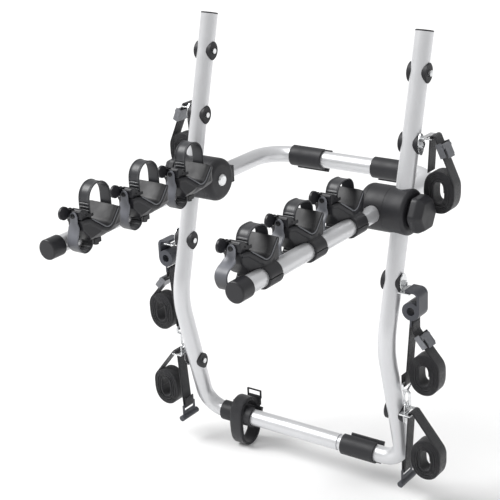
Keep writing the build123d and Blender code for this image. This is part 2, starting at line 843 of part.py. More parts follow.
def saddle_washer(side, face, place):
    """A shaped washer between a side tube and its bolt; face is 1 outboard and -1 inboard."""
    y, z, tilt = place
    body = side_profile(lens(washer_half_width, washer_half_height, washer_tip),
                        face * (washer_reach - washer_depth), face * washer_reach)
    body = body - Cylinder(tube_radius + fit_gap, washer_half_height * 3)
    body = body - rod("X", bolt_radius + fit_gap, 0, face * washer_reach * 2)
    return on_side(side, Pos(0, y, z) * Rot(tilt, 0, 0) * body)


def frame_bolt(side, place, seat):
    """A bolt through a side tube; its head is inboard and its nut outboard at seat."""
    y, z, _ = place
    shank = rod("X", bolt_radius, -washer_reach, seat + nut_height + bolt_tip, (y, z))
    head = rod("X", bolt_head_radius, -washer_reach - bolt_head_height, -washer_reach, (y, z))
    return on_side(side, shank + head)


def frame_nut(side, place, seat):
    """The nut of a bolt through a side tube."""
    y, z, _ = place
    body = side_profile(RegularPolygon(nut_radius, nut_sides), seat, seat + nut_height)
    body = body - rod("X", bolt_radius + fit_gap, seat - cut_over, seat + nut_height + cut_over)
    return on_side(side, Pos(0, y, z) * body)


def strap_bracket(side, place, strap_y, sign, with_ear):
    """A plate on a washer, with a ledge whose slot leaves a bar for a strap.

    The ledge is above the bolt for sign 1 and below it for -1. The ear takes a snap hook.
    """
    y, z, _ = place
    half = bracket_thickness / 2
    shift = strap_y - y
    level = sign * ledge_rise
    face = lens(bracket_half_width, bracket_half_height, bracket_tip)
    plate = side_profile(face, washer_reach, bracket_face)
    ledge = block((washer_reach, bar_to), (shift - ledge_half_width, shift + ledge_half_width),
                  (level - half, level + half))
    slot = block((slot_from, bar_from), (shift - slot_half_length, shift + slot_half_length),
                 (level - cut_over, level + cut_over))
    body = plate + ledge - slot
    if with_ear:
        ear = outline((shift - ear_half_width, 0), (shift + ear_half_width, 0),
                      (shift + ear_half_width, ear_height), (shift - ear_half_width, ear_height))
        ear = fillet(ear.vertices().group_by(Axis.Y)[-1], ear_half_width / 2)
        ear = ear - Pos(shift, ear_hole_rise) * Circle(ear_hole_radius)
        body = body + Pos(0, 0, level) * side_profile(ear, ear_from, ear_from + bracket_thickness)
    body = body - rod("X", bolt_radius + fit_gap, 0, bar_to)
    return on_side(side, Pos(0, y, z) * body)


def tangent_run(start, coil):
    """Where a strap that comes from start turns down on to the outer side of its roll."""
    top = (coil[0], coil[1] + coil_straight / 2)
    back, reach = unit(top, start)
    touch = math.atan2(back[1], back[0]) - math.acos(coil_outer_radius / reach)
    run = (coil[0] + coil_outer_radius - start[0]) / math.sin(touch)
    return touch, (coil[0] + coil_outer_radius, start[1] - run * math.cos(touch))


def side_strap_line(lower, lower_radii, bar, fall, coil):
    """A side strap's line: up from its lower end, over a bar, out and down into its roll.

    bar is (distance out, top of the bar, half its width). Returns the line, its radii, the
    place where it leaves the bar's fall, and the angle of its free run from the vertical.
    """
    middle, bar_top, half = bar
    radius = half + part_gap + web_thickness / 2
    top = bar_top + radius
    start = (middle + radius, top - fall)
    touch, corner = tangent_run(start, coil)
    points = lower + [(middle - radius, top), (middle + radius, top)]
    radii = lower_radii + [radius, radius]
    if fall:
        points.append(start)
        radii.append(web_bend)
    roll_points, roll_radii = winding(coil_outer_radius, coil_half_turns, coil_straight, coil_step,
                                      coil_end_run)
    points += [corner] + [(coil[0] + x, coil[1] + z) for x, z in roll_points]
    radii += [coil_outer_radius] + roll_radii
    return points, radii, start, touch


def loop_under(out, low, half):
    """A strap's sewn end: down past a bar, under it and up again on its outboard side."""
    radius = half + part_gap + web_thickness / 2
    bottom = low - radius
    points = [(out - radius, bottom + web_tab), (out - radius, bottom), (out + radius, bottom)]
    return points, [radius, radius]


def top_line():
    """The top strap's line: its free tail, the top bracket's bar and its roll."""
    z = bolt_places()[1][1]
    bar = ((bar_from + bar_to) / 2, z + ledge_top, (bar_to - bar_from) / 2)
    tail = [(top_tail_out, z - top_tail_drop)]
    return side_strap_line(tail, [], bar, 0, (top_coil_out, z - top_coil_drop))


def mid_line():
    """The middle strap's line: the snap hook's eye, the trunk hook's bar and its roll."""
    z = bolt_places()[2][1]
    tail_z = z - roll_drop
    lower, radii = loop_under(snap_out(), snap_eye_z() - snap_wire, snap_wire)
    bar = (roll_out, tail_z - tail_slot_low, tail_plate / 2)
    return side_strap_line(lower, radii, bar, mid_strap_fall, (mid_coil_out, z - mid_coil_drop))


def low_line():
    """The lower strap's line: the foot hook's bar, the lower bracket's bar and its roll."""
    z = bolt_places()[3][1]
    lower, radii = loop_under(foot_hook_out, z - foot_hook_drop + foot_slot_top, foot_plate_wall / 2)
    bar = ((bar_from + bar_to) / 2, z + ledge_top, (bar_to - bar_from) / 2)
    return side_strap_line(lower, radii, bar, 0, (low_coil_out, z - low_coil_drop))


def side_strap(side, line, y):
    """A side strap with its excess rolled up."""
    points, radii, _, _ = line
    return on_side(side, front_profile(band(points, radii, web_thickness), y, web_width))


def strap_levels():
    """The y of the top, middle and lower straps."""
    places = bolt_places()
    return places[1][0] + top_bracket_shift, places[2][0], places[2][0]


def trunk_hook(side, y):
    """A coated hook for the boot's edge, hung over the middle bracket's bar."""
    z = bolt_places()[2][1]
    roll_z = z - roll_drop
    slab = roll_out + roll_radius - hook_wall / 2
    over_bar = z - ledge_rise + bracket_thickness / 2 + part_gap + hook_wall / 2
    arch = band([(slab, roll_z), (slab, over_bar), (hook_lip, over_bar)], [hook_bend], hook_wall)
    face = arch + Pos(roll_out, roll_z) * Circle(roll_radius) - Pos(roll_out, roll_z) * Circle(roll_bore)
    body = front_profile(face, y, hook_width)
    tail = block((roll_out - tail_plate / 2, roll_out + tail_plate / 2),
                 (y - hook_width / 2, y + hook_width / 2),
                 (roll_z - tail_plate_low, roll_z - (roll_radius + roll_bore) / 2))
    slot = block((0, roll_out * 2), (y - slot_half_length, y + slot_half_length),
                 (roll_z - tail_slot_low, roll_z - tail_slot_top))
    return on_side(side, body + (tail - slot))


def cam_place(line, along):
    """Where a cam buckle sits on a strap's free run: (out, z, angle from the vertical)."""
    _, _, start, touch = line
    return start[0] + along * math.sin(touch), start[1] - along * math.cos(touch), math.degrees(touch)


def cam_pivot():
    """How far the cam's pin stands off the middle of the strap."""
    return cam_radius + web_thickness / 2 + part_gap


def seated_cam(side, body, place, y):
    """Turn and place a cam buckle's piece that is drawn about an upright strap."""
    out, z, angle = place
    return on_side(side, Pos(out, y, z) * Rot(0, -angle, 0) * body)


def cam_frame(side, place, y):
    """The cam buckle's U frame behind the strap."""
    inner = web_width / 2 + cam_side_gap
    outer = inner + cam_frame_wall
    floor = -web_thickness / 2 - part_gap
    tall = cam_frame_half * 2
    body = block((floor - cam_frame_wall, cam_frame_height), (-outer, outer),
                 (-cam_frame_half, cam_frame_half))
    body = body - block((floor, cam_frame_height + cut_over), (-inner, inner), (-tall, tall))
    pin_hole = rod("Y", cam_pin_radius + fit_gap, -tall, tall, (cam_pivot(), cam_pivot_up))
    return seated_cam(side, body - pin_hole, place, y)


def cam_pin(side, place, y):
    """The pin of a cam buckle."""
    outer = web_width / 2 + cam_side_gap + cam_frame_wall
    return seated_cam(side, rod("Y", cam_pin_radius, -outer, outer, (cam_pivot(), cam_pivot_up)), place, y)


def cam_lever(side, place, y):
    """The cam and its thumb plate, lying along the strap."""
    half = web_width / 2 + cam_side_gap - part_gap
    hub = rod("Y", cam_radius, -half, half, (cam_pivot(), cam_pivot_up))
    face = cam_pivot() + cam_radius
    plate = block((face - cam_lever_wall, face), (-cam_lever_half, cam_lever_half),
                  (cam_pivot_up - cam_lever_length, cam_pivot_up))
    bore = rod("Y", cam_pin_radius + fit_gap, -web_width, web_width, (cam_pivot(), cam_pivot_up))
    return seated_cam(side, hub + plate - bore, place, y)


def snap_out():
    """How far out a snap hook hangs: on the middle of the lower bracket's ear."""
    return ear_from + bracket_thickness / 2


def snap_low():
    """The z of the centre of a snap hook's lower bend, which lies in the ear's hole."""
    return bolt_places()[3][1] + ledge_rise + ear_hole_rise + snap_radius


def snap_eye_z():
    """The z of the middle of a snap hook's eye bar."""
    return snap_low() + snap_height + snap_radius + snap_wire + snap_eye_rise


def snap_hook(side, y):
    """A snap hook's body: an open oval of wire with a wide eye for the strap."""
    out = snap_out()
    low = snap_low()
    high = low + snap_height
    left = out - snap_radius
    right = out + snap_radius
    points = [(left, y, low + snap_tip), (left, y, low - snap_radius), (right, y, low - snap_radius),
              (right, y, high + snap_radius), (left, y, high + snap_radius), (left, y, high - snap_stub)]
    path = FilletPolyline(*points, radius=snap_radius - fit_gap)
    oval = sweep(Plane(origin=path @ 0, z_dir=path % 0) * Circle(snap_wire), path=path)
    eye_z = snap_eye_z()
    root = (out, y, high + snap_radius)
    eye = rod("Y", snap_wire, y - snap_eye_half, y + snap_eye_half, (out, eye_z))
    for end in (y - snap_eye_half, y + snap_eye_half):
        foot = (out, end, eye_z - snap_eye_post)
        line = Line(root, foot)
        eye = eye + sweep(Plane(origin=line @ 0, z_dir=line % 0) * Circle(snap_wire), path=line)
        eye = eye + rod("Z", snap_wire, eye_z - snap_eye_post, eye_z, (out, end))
        eye = eye + Pos(*foot) * Sphere(snap_wire) + Pos(out, end, eye_z) * Sphere(snap_wire)
    return on_side(side, oval + eye)


def gate_limits():
    """The z of the pivot and of the free end of a snap hook's gate."""
    low = snap_low()
    return low + snap_height - snap_stub - part_gap - gate_wire, low + snap_tip + part_gap


def snap_gate(side, y):
    """The sprung gate that closes a snap hook."""
    pivot, end = gate_limits()
    at = (snap_out() - snap_radius, y)
    return on_side(side, rod("Z", gate_wire, end, pivot, at) + Pos(at[0], at[1], pivot) * Sphere(gate_wire))


def foot_hook(side, y):
    """The lower strap's hook: a slotted plate with a rolled lower edge."""
    z = bolt_places()[3][1] - foot_hook_drop
    half = foot_plate_wall / 2
    plate = block((foot_hook_out - half, foot_hook_out + half), (y - foot_plate_half, y + foot_plate_half),
                  (z, z + foot_plate_top))
    slot = block((0, foot_hook_out * 2), (y - slot_half_length, y + slot_half_length),
                 (z + foot_slot_low, z + foot_slot_top))
    roll = rod("Y", foot_hook_radius, y - foot_hook_length / 2, y + foot_hook_length / 2, (foot_hook_out, z))
    return on_side(side, plate - slot + roll)


def loose_line():
    """The loose strap's line on (Y, Z): its sewn end, then its roll round the left foot's sleeve."""
    outer = loose_inner_radius + loose_half_turns * coil_step
    centre = (bar_y + loose_shift_y, bar_z - loose_drop)
    roll_points, roll_radii = winding(outer, loose_half_turns, loose_straight, coil_step, coil_end_run)
    radius = end_buckle_thickness / 2 + part_gap + web_thickness / 2
    side = centre[0] + outer
    top = centre[1] + loose_rise + radius
    points = [(side + 2 * radius, top - web_tab), (side + 2 * radius, top), (side, top)]
    points += [(centre[0] + y, centre[1] + z) for y, z in roll_points]
    return points, [radius, radius] + roll_radii


def loose_strap():
    """The loose strap, rolled up round the left foot's sleeve."""
    points, radii = loose_line()
    return side_profile(band(points, radii, web_thickness), -loose_x - web_width / 2, web_width / 2 - loose_x)


def end_buckle():
    """The loose strap's buckle: a flat frame whose lower bar lies in the strap's sewn end."""
    points, radii = loose_line()
    y = points[2][0] + radii[0]
    low = points[2][1] - radii[0]
    half = end_buckle_width / 2
    over = end_buckle_thickness
    body = block((-half, half), (y - over / 2, y + over / 2), (low - end_buckle_bar, low + end_buckle_height))
    inner = half - end_buckle_wall
    hole = block((-inner, inner), (y - over, y + over), (low, low + end_buckle_height - end_buckle_bar))
    return Pos(-loose_x, 0, 0) * (body - hole)


os.makedirs("parts", exist_ok=True)
sides = [(-1, "left"), (1, "right")]
places = bolt_places()
top_y, mid_y, low_y = strap_levels()
lines = {"top": top_line(), "mid": mid_line(), "low": low_line()}
cams = {"top": (cam_place(lines["top"], cam_place_top), top_y),
        "mid": (cam_place(lines["mid"], cam_place_mid), mid_y)}

for name, (points, radii, _, _) in lines.items():
    gap, length = least_gap(points, radii, web_thickness)
    print(name, "strap: least gap", round(gap, 3), "mm, length", round(length), "mm")
loose_gap, loose_length = least_gap(*loose_line(), web_thickness)
print("loose strap: least gap", round(loose_gap, 3), "mm, length", round(loose_length), "mm")
print("feet middle from the hub line: y", round(origin_y, 3), "z", round(origin_z, 3))
print("contact plane's normal: y", round(rest_cos, 5), "z", round(-rest_sin, 5))

for side, word in sides:
    save("side_tube_" + word, side_tube(side))
    save("arm_socket_" + word, arm_socket(side))
    save("upper_socket_" + word, upper_socket(side))
    save("hub_knob_" + word, hub_knob(side))
    save("arm_tube_" + word, arm_tube(side))
    save("arm_cap_" + word, arm_cap(side))
    cradles = list(cradle_places(side))
    save("cradle_saddles_" + word, together([saddle(*cradle) for cradle in cradles]))
    save("cradle_clamps_" + word, together([clamp_half(*cradle) for cradle in cradles]))
    save("cradle_pads_" + word, together([saddle_liner(x, y) for x, _, y in cradles]))
    save("ladder_straps_" + word, together([bike_strap(side, number, x, y)
                                            for number, (x, _, y) in enumerate(cradles)]))
    save("strap_buckles_" + word, together([buckle(x, y) for x, _, y in cradles]))
    save("cradle_screws_" + word, together([make(x, y) for x, _, y in cradles
                                            for make in (clamp_screw, tip_screw)]))
    save("lever_pins_" + word, together([lever_pin(x, y) for x, _, y in cradles]))
    for number, (x, _, y) in enumerate(cradles, 1):
        save("release_lever_" + word + "_" + str(number), release_lever(x, y))
    save("top_strap_" + word, side_strap(side, lines["top"], top_y))
    save("mid_strap_" + word, side_strap(side, lines["mid"], mid_y))
    save("low_strap_" + word, side_strap(side, lines["low"], low_y))
    save("snap_gate_" + word, snap_gate(side, mid_y))
    for level, (place, y) in cams.items():
        save("cam_lever_" + level + "_" + word, cam_lever(side, place, y))

save("tube_plugs", together([tube_plug(side) for side, _ in sides]))
save("hub_clamps", together([hub_clamp(side) for side, _ in sides]))
save("hub_bolts", together([hub_bolt(side) for side, _ in sides]))
save("upper_tube", upper_tube())
save("upper_pads", together([pad(side * upper_pad_x, upper_reach, 0) for side, _ in sides]))
save("lower_pads", together([pad(-lower_pad_left_x, bar_y, bar_z), pad(lower_pad_right_x, bar_y, bar_z)]))
save("saddle_washers", together([saddle_washer(side, face, place)
                                 for side, _ in sides for face in (-1, 1) for place in places]))
seats = [washer_reach, bracket_face, bracket_face, bracket_face]
save("frame_bolts", together([frame_bolt(side, place, seat)
                              for side, _ in sides for place, seat in zip(places, seats)]))
save("frame_nuts", together([frame_nut(side, place, seat)
                             for side, _ in sides for place, seat in zip(places, seats)]))
brackets = [(places[1], top_y, 1, False), (places[2], mid_y, -1, False), (places[3], low_y, 1, True)]
save("strap_brackets", together([strap_bracket(side, *bracket)
                                 for side, _ in sides for bracket in brackets]))
save("trunk_hooks", together([trunk_hook(side, mid_y) for side, _ in sides]))
save("snap_hooks", together([snap_hook(side, mid_y) for side, _ in sides]))
save("foot_hooks", together([foot_hook(side, low_y) for side, _ in sides]))
save("cam_buckles", together([make(side, place, y) for side, _ in sides
                              for place, y in cams.values() for make in (cam_frame, cam_pin)]))
save("safety_strap", loose_strap())
save("safety_buckle", end_buckle())
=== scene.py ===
import json
import math

import bpy
import numpy as np
from bpy.props import FloatProperty, FloatVectorProperty, IntProperty, PointerProperty
from mathutils import Matrix, Vector


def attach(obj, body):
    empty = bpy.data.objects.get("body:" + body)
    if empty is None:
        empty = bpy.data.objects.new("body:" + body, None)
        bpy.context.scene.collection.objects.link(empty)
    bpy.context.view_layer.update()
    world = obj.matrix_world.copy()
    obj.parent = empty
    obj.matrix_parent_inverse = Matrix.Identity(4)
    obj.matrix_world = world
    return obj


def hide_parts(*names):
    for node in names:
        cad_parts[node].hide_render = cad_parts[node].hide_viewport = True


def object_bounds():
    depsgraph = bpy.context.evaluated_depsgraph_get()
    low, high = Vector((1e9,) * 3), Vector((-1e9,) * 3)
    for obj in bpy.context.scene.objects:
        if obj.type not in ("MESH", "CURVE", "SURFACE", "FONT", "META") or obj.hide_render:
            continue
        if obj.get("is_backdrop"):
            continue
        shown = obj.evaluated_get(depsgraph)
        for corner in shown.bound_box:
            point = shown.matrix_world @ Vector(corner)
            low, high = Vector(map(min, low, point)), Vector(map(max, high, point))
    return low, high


bl_info = {
    "name": "Strap-on bike rack finish",
    "version": (1, 0, 0),
    "blender": (4, 5, 0),
    "location": "View3D > Sidebar > Rack",
    "description": "Dresses the bike rack's frame with webbing, toothed straps, liners and finishes",
    "category": "Object",
}

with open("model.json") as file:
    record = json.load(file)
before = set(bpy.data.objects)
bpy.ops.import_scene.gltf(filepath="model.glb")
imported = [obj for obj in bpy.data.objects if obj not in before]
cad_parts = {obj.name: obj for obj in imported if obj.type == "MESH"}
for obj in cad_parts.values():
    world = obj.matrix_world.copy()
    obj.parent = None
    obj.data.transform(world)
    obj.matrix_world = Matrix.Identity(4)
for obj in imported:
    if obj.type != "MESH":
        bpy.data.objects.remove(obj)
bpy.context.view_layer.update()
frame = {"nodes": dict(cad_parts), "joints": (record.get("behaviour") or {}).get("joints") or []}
NODES = frame["nodes"]
MM = 0.001
SIDES = (("left", -1), ("right", 1))

# The middle of the hub line, which every route below is measured from.
HUB = Vector(next(j["pos_m"] for j in frame["joints"] if j["name"] == "upper_frame_fold"))

# Places in millimetres from the hub line: out is along X from the middle, up is along Z.
TUBE_OUT = 212.0
CRADLE_OUT = 149.3
CRADLE_ALONG = (-92.0, -211.0, -330.0)

# A wound end: radius at its start, turns, radius lost in each turn, and the straight between its halves.
SIDE_ROLL = dict(radius=27.0, turns=9.0, pitch=2.0, straight=17.0)
LOOSE_ROLL = dict(radius=30.5, turns=3.0, pitch=2.0, straight=35.0)

# A side strap: its level along Y, the corners (out from the tube, up) before its roll with their radii,
# the roll's centre, and how far its layers wander along Y.
SIDE_STRAPS = {
    "top": dict(level=45.146, roll=(47.4, 28.087), wander=1.1, radii=(3.5, 3.5),
                corners=((28.0, 58.087), (32.0, 119.587), (39.0, 119.587))),
    "mid": dict(level=-30.539, roll=(61.0, -259.871), wander=0.8, radii=(3.2, 3.2, 2.5, 2.5, 6.0),
                corners=((20.3, -269.101), (20.3, -289.101), (26.7, -289.101), (36.5, -170.371),
                         (41.5, -170.371), (41.5, -188.371))),
    "low": dict(level=-30.539, roll=(63.0, -414.901), wander=1.3, radii=(2.2, 2.2, 3.5, 3.5),
                corners=((19.8, -430.101), (19.8, -450.101), (24.2, -450.101), (32.0, -334.401),
                         (39.0, -334.401))),
}

# The loose strap's corners (along Y, up) from its sewn end to the top of its roll, and the roll's centre.
LOOSE_STRAP = dict(out=-131.0, roll=(7.584, -468.634), radii=(2.5, 2.5), wander=1.2, waves=17.0,
                   corners=((43.084, -452.134), (43.084, -432.134), (38.084, -432.134)))

# A toothed strap's corners (along Y, up) from its screwed tip, through the saddle and over the bike's tube.
TOOTHED_LINES = {
    "tall": dict(corners=((-43.8, 54.5), (-43.8, 33.0), (-54.0, 2.0), (-36.0, -15.0), (-18.0, -8.0),
                          (-18.0, 91.0), (31.0, 91.0), (31.0, 34.0)),
                 radii=(34.0, 13.0, 9.0, 8.0, 24.0, 24.0)),
    "long": dict(corners=((-43.8, 54.5), (-43.8, 33.0), (-77.0, 20.0), (-64.0, -9.0), (-18.0, -8.0),
                          (-18.0, 68.0), (31.0, 68.0), (31.0, 34.0)),
                 radii=(14.0, 13.0, 12.0, 9.0, 17.5, 17.5)),
    "short": dict(corners=((-43.8, 54.5), (-43.8, 33.0), (-59.0, 17.0), (-50.0, -6.0), (-18.0, -8.0),
                           (-18.0, 68.0), (31.0, 68.0), (31.0, 34.0)),
                  radii=(10.0, 8.0, 8.0, 9.0, 17.5, 17.5)),
}

# A saddle's trough seen from its side (along Y, up) with the radii of its bends, and half its width (along Y,
# out) from nose to back.
TROUGH = dict(corners=((-41.0, 43.0), (-30.0, 43.0), (0.0, 17.0), (26.0, 48.0), (35.0, 48.0)),
              radii=(3.0, 14.0, 4.0))
SADDLE_PLAN = np.array([(-41.0, 15.5), (-12.0, 31.0), (24.0, 31.0), (35.0, 27.0)])

# Where a strip's section has points, from edge to edge, and where a toothed strap's rims end.
WEB_ACROSS = np.array([-1.0, -0.985, -0.94, -0.6, 0.0, 0.6, 0.94, 0.985, 1.0])
TOOTHED_ACROSS = np.array([-1.0, -0.97, -0.9, -0.84, -0.78, -0.4, 0.0, 0.4, 0.78, 0.84, 0.9, 0.97, 1.0])
LADDER_HALF = 0.86
LADDER_FADE = 0.05

# A roll's winding: how far its turns stray in millimetres and how often, how squarely its halves stand
# apart, and how often a side strap wanders sideways.
ROLL_STRAY = 0.12
ROLL_WAVES = 0.37
ROLL_SQUARENESS = 2.2
SIDE_WAVES = 31.0

# How many points of a line are averaged, how many make an arc, and how far apart a trough's points are.
WEB_SPREAD = 1.0
TOOTHED_SPREAD = 12.0
ARC_POINTS = 40
TROUGH_STEP = 0.8

# How knobs, liners and buckles are softened.
KNOB_GRID = 1.1 * MM
KNOB_PASSES = 14
LINER_PASSES = 4
BUCKLE_PASSES = 3

# Noise below and above these values gives a finish's two extremes.
NOISE_LOW = 0.3
NOISE_HIGH = 0.7

# The camera in the part's frame, with its three directions.
CAMERA_PLACE = (1.19667, -1.86501, 0.92717)
CAMERA_ACROSS = (0.81418, 0.57862, -0.04807)
CAMERA_UP = (-0.16620, 0.31158, 0.93557)
CAMERA_AHEAD = (-0.55631, 0.75374, -0.34985)


class RackColours(bpy.types.PropertyGroup):
    """Base colours of the rack's finishes."""
    tube: FloatVectorProperty(name="Tube paint", description="Silver paint of the tubes", subtype="COLOR",
                              size=3, min=0, max=1, default=(0.68, 0.685, 0.70))
    hub: FloatVectorProperty(name="Hub plastic", description="Moulded plastic of hubs, knobs and washers",
                             subtype="COLOR", size=3, min=0, max=1, default=(0.018, 0.018, 0.021))
    cradle: FloatVectorProperty(name="Cradle plastic", description="Moulded plastic of saddles and rings",
                                subtype="COLOR", size=3, min=0, max=1, default=(0.014, 0.014, 0.017))
    liner: FloatVectorProperty(name="Liner rubber", description="Soft rubber of the cradles' liners",
                               subtype="COLOR", size=3, min=0, max=1, default=(0.014, 0.014, 0.016))
    foot: FloatVectorProperty(name="Foot rubber", description="Rubber of the padded feet",
                              subtype="COLOR", size=3, min=0, max=1, default=(0.020, 0.020, 0.023))
    # The liner rim colour is a painted highlight: it is paler than the liner so that the rims read as the
    # light caught along the liners' lips. The bead itself is real.
    rim: FloatVectorProperty(name="Liner rim", description="Paler rolled rim of the cradles' liners",
                             subtype="COLOR", size=3, min=0, max=1, default=(0.14, 0.145, 0.16))
    strap: FloatVectorProperty(name="Toothed strap", description="Rubber of the toothed straps",
                               subtype="COLOR", size=3, min=0, max=1, default=(0.032, 0.033, 0.037))
    webbing: FloatVectorProperty(name="Webbing", description="Woven webbing of the side straps",
                                 subtype="COLOR", size=3, min=0, max=1, default=(0.013, 0.013, 0.016))
    zinc: FloatVectorProperty(name="Zinc", description="Bright zinc plate of brackets, bolts and hooks",
                              subtype="COLOR", size=3, min=0, max=1, default=(0.78, 0.79, 0.80))
    hook: FloatVectorProperty(name="Hook coating", description="Coating of the trunk and foot hooks",
                              subtype="COLOR", size=3, min=0, max=1, default=(0.055, 0.058, 0.070))
    floor: FloatVectorProperty(name="Floor", description="Pale floor under the rack", subtype="COLOR",
                               size=3, min=0, max=1, default=(0.9, 0.9, 0.9))


class WebbingSizes(bpy.types.PropertyGroup):
    """Sizes of the woven webbing."""
    width: FloatProperty(name="Width", description="Width of the webbing", unit="LENGTH", default=25 * MM)
    thickness: FloatProperty(name="Thickness", description="Thickness of the webbing", unit="LENGTH",
                             default=1.4 * MM)
    step: FloatProperty(name="Step", description="Length of one mesh face along the webbing", unit="LENGTH",
                        default=1.1 * MM)
    rib: FloatProperty(name="Rib", description="Distance between two ribs of the weave", unit="LENGTH",
                       default=1.6 * MM)


class ToothedStrapSizes(bpy.types.PropertyGroup):
    """Sizes of the toothed straps over the bikes' tubes."""
    width: FloatProperty(name="Width", description="Full width of the strap", unit="LENGTH",
                         default=22.5 * MM)
    tip_width: FloatProperty(name="Tip width", description="Width at the screwed tip", unit="LENGTH",
                             default=15 * MM)
    back: FloatProperty(name="Back", description="Thickness on the smooth side of the middle line",
                        unit="LENGTH", default=1.45 * MM)
    web: FloatProperty(name="Web", description="Thickness between teeth, from the middle line",
                       unit="LENGTH", default=0.25 * MM)
    tooth: FloatProperty(name="Tooth", description="Height of a tooth above the web", unit="LENGTH",
                         default=1.3 * MM)
    pitch: FloatProperty(name="Pitch", description="Distance between two teeth", unit="LENGTH",
                         default=5.4 * MM)
    faces_per_tooth: IntProperty(name="Faces per tooth", description="Mesh faces along one tooth", default=13)
    # The smooth plate's paler colour is a painted sheen. smooth_end also sets where the teeth start.
    smooth_end: FloatProperty(name="Smooth end", description="Length of the paler smooth plate at the tip",
                              unit="LENGTH", default=52 * MM)
    painted_sheen: FloatProperty(name="Paleness", description="How much paler the smooth plate is", default=5.5)


class CradleSizes(bpy.types.PropertyGroup):
    """How the cradles' mouldings are softened."""
    grid: FloatProperty(name="Grid", description="Mesh size of the softened saddles", unit="LENGTH",
                        default=1.25 * MM)
    passes: IntProperty(name="Passes", description="How often a saddle's points are averaged", default=9)
    flange: FloatProperty(name="Flange", description="How far the flange under the trough stands proud",
                          unit="LENGTH", default=1.5 * MM)
    flange_height: FloatProperty(name="Flange height", description="Height of the flange under the trough",
                                 unit="LENGTH", default=6.5 * MM)
    liner_grid: FloatProperty(name="Liner grid", description="Mesh size of the liners", unit="LENGTH",
                              default=0.8 * MM)
    crown: FloatProperty(name="Crown", description="How far a liner swells in its middle", unit="LENGTH",
                         default=0.9 * MM)
    rim: FloatProperty(name="Rim", description="Radius of the liner's rolled rim", unit="LENGTH",
                       default=1.05 * MM)
    bowl: FloatProperty(name="Bowl", description="How far a saddle's underside rises at its inner flank",
                        unit="LENGTH", default=19 * MM)
    buckle_grid: FloatProperty(name="Buckle grid", description="Mesh size of the softened buckles",
                               unit="LENGTH", default=0.7 * MM)
    buckle_slope: FloatProperty(name="Buckle slope", default=0.3,
                                description="Share of a buckle's height left at its rear")


class StudioSettings(bpy.types.PropertyGroup):
    """Camera and lights."""
    lens: FloatProperty(name="Lens", description="Focal length, in millimetres", default=94.85)
    sensor: FloatProperty(name="Sensor", description="Width of the sensor, in millimetres", default=36.0)
    sky: FloatProperty(name="Sky", description="Strength of the soft light from all round", default=0.62)
    key: FloatProperty(name="Key", description="Strength of the soft key light", default=2.9)
    key_spread: FloatProperty(name="Key spread", description="Angle that the key light fills",
                              subtype="ANGLE", default=math.radians(35))
    key_tilt: FloatProperty(name="Key tilt", description="Angle of the key light from the vertical",
                            subtype="ANGLE", default=math.radians(42))
    key_turn: FloatProperty(name="Key turn", description="Angle of the key light about the vertical",
                            subtype="ANGLE", default=math.radians(-62))
    floor_reach: FloatProperty(name="Floor reach", description="Half the width of the floor", unit="LENGTH",
                               default=12.0)
    floor_gap: FloatProperty(name="Floor gap", description="How far the floor lies under the rack",
                             unit="LENGTH", default=0.5 * MM)


def evenly(line, step):
    """Points a step apart along a polyline, and their distances from its start."""
    run = np.concatenate([[0.0], np.cumsum(np.linalg.norm(np.diff(line, axis=0), axis=1))])
    where = np.linspace(0.0, run[-1], int(round(run[-1] / step)) + 1)
    return np.column_stack([np.interp(where, run, line[:, k]) for k in (0, 1)]), where


def rounded(corners, radii):
    """A polyline with round corners: each corner gives way to the arc that touches both of its runs."""
    corners = np.asarray(corners, float)
    line = [corners[:1]]
    for before, corner, after, radius in zip(corners, corners[1:], corners[2:], radii):
        into = (corner - before) / np.linalg.norm(corner - before)
        out = (after - corner) / np.linalg.norm(after - corner)
        turn = math.atan2(into[0] * out[1] - into[1] * out[0], into @ out)
        start = corner - into * radius * math.tan(abs(turn) / 2)
        centre = start + np.array([-into[1], into[0]]) * math.copysign(radius, turn)
        first = math.atan2(*(start - centre)[::-1])
        angles = first + turn * np.linspace(0.0, 1.0, ARC_POINTS)
        line.append(centre + radius * np.column_stack([np.cos(angles), np.sin(angles)]))
    line.append(corners[-1:])
    return np.vstack(line)


def relaxed(line, spread):
    """A line softened as cloth is: each point becomes the bell-weighted mean of its neighbours."""
    reach = int(3 * spread) + 1
    bell = np.exp(-0.5 * (np.arange(-reach, reach + 1) / spread) ** 2)
    bell /= bell.sum()
    padded = np.pad(line, ((reach, reach), (0, 0)), mode="reflect", reflect_type="odd")
    return np.column_stack([np.convolve(padded[:, k], bell, mode="valid") for k in (0, 1)])


def roll(centre, step, radius, turns, pitch, straight):
    """A rolled-up end, wound inwards from its outer side, going down first.

    A point at angle t is at the first radius less a pitch per turn, with a small sine of t added; the
    upper and lower halves stand apart by a smoothed straight, which makes the roll a soft oval.
    """
    turned = np.linspace(0.0, turns, int(turns * 2 * math.pi * radius / step))
    angle = -2 * math.pi * turned
    reach = radius - pitch * turned + ROLL_STRAY * np.sin(angle * ROLL_WAVES + 1.0)
    oval = straight / 2 * np.tanh(ROLL_SQUARENESS * np.sin(angle)) / math.tanh(ROLL_SQUARENESS)
    return np.column_stack([centre[0] + reach * np.cos(angle), centre[1] + reach * np.sin(angle) + oval])


def side_strap_route(strap, step):
    """A side strap's middle line: its loops and free run, then its roll."""
    corners = list(strap["corners"])
    start = np.array(corners[-1])
    centre = np.array(strap["roll"])
    radius = SIDE_ROLL["radius"]
    top = centre + (0.0, SIDE_ROLL["straight"] / 2)
    reach = np.linalg.norm(start - top)
    touch = math.atan2(*(start - top)[::-1]) - math.acos(radius / reach)
    run = (centre[0] + radius - start[0]) / math.sin(touch)
    corners += [(centre[0] + radius, start[1] - run * math.cos(touch)), (centre[0] + radius, centre[1])]
    line = np.vstack([rounded(corners, strap["radii"] + (radius,)), roll(centre, step, **SIDE_ROLL)[1:]])
    line, where = evenly(line, step)
    return relaxed(line, WEB_SPREAD), where


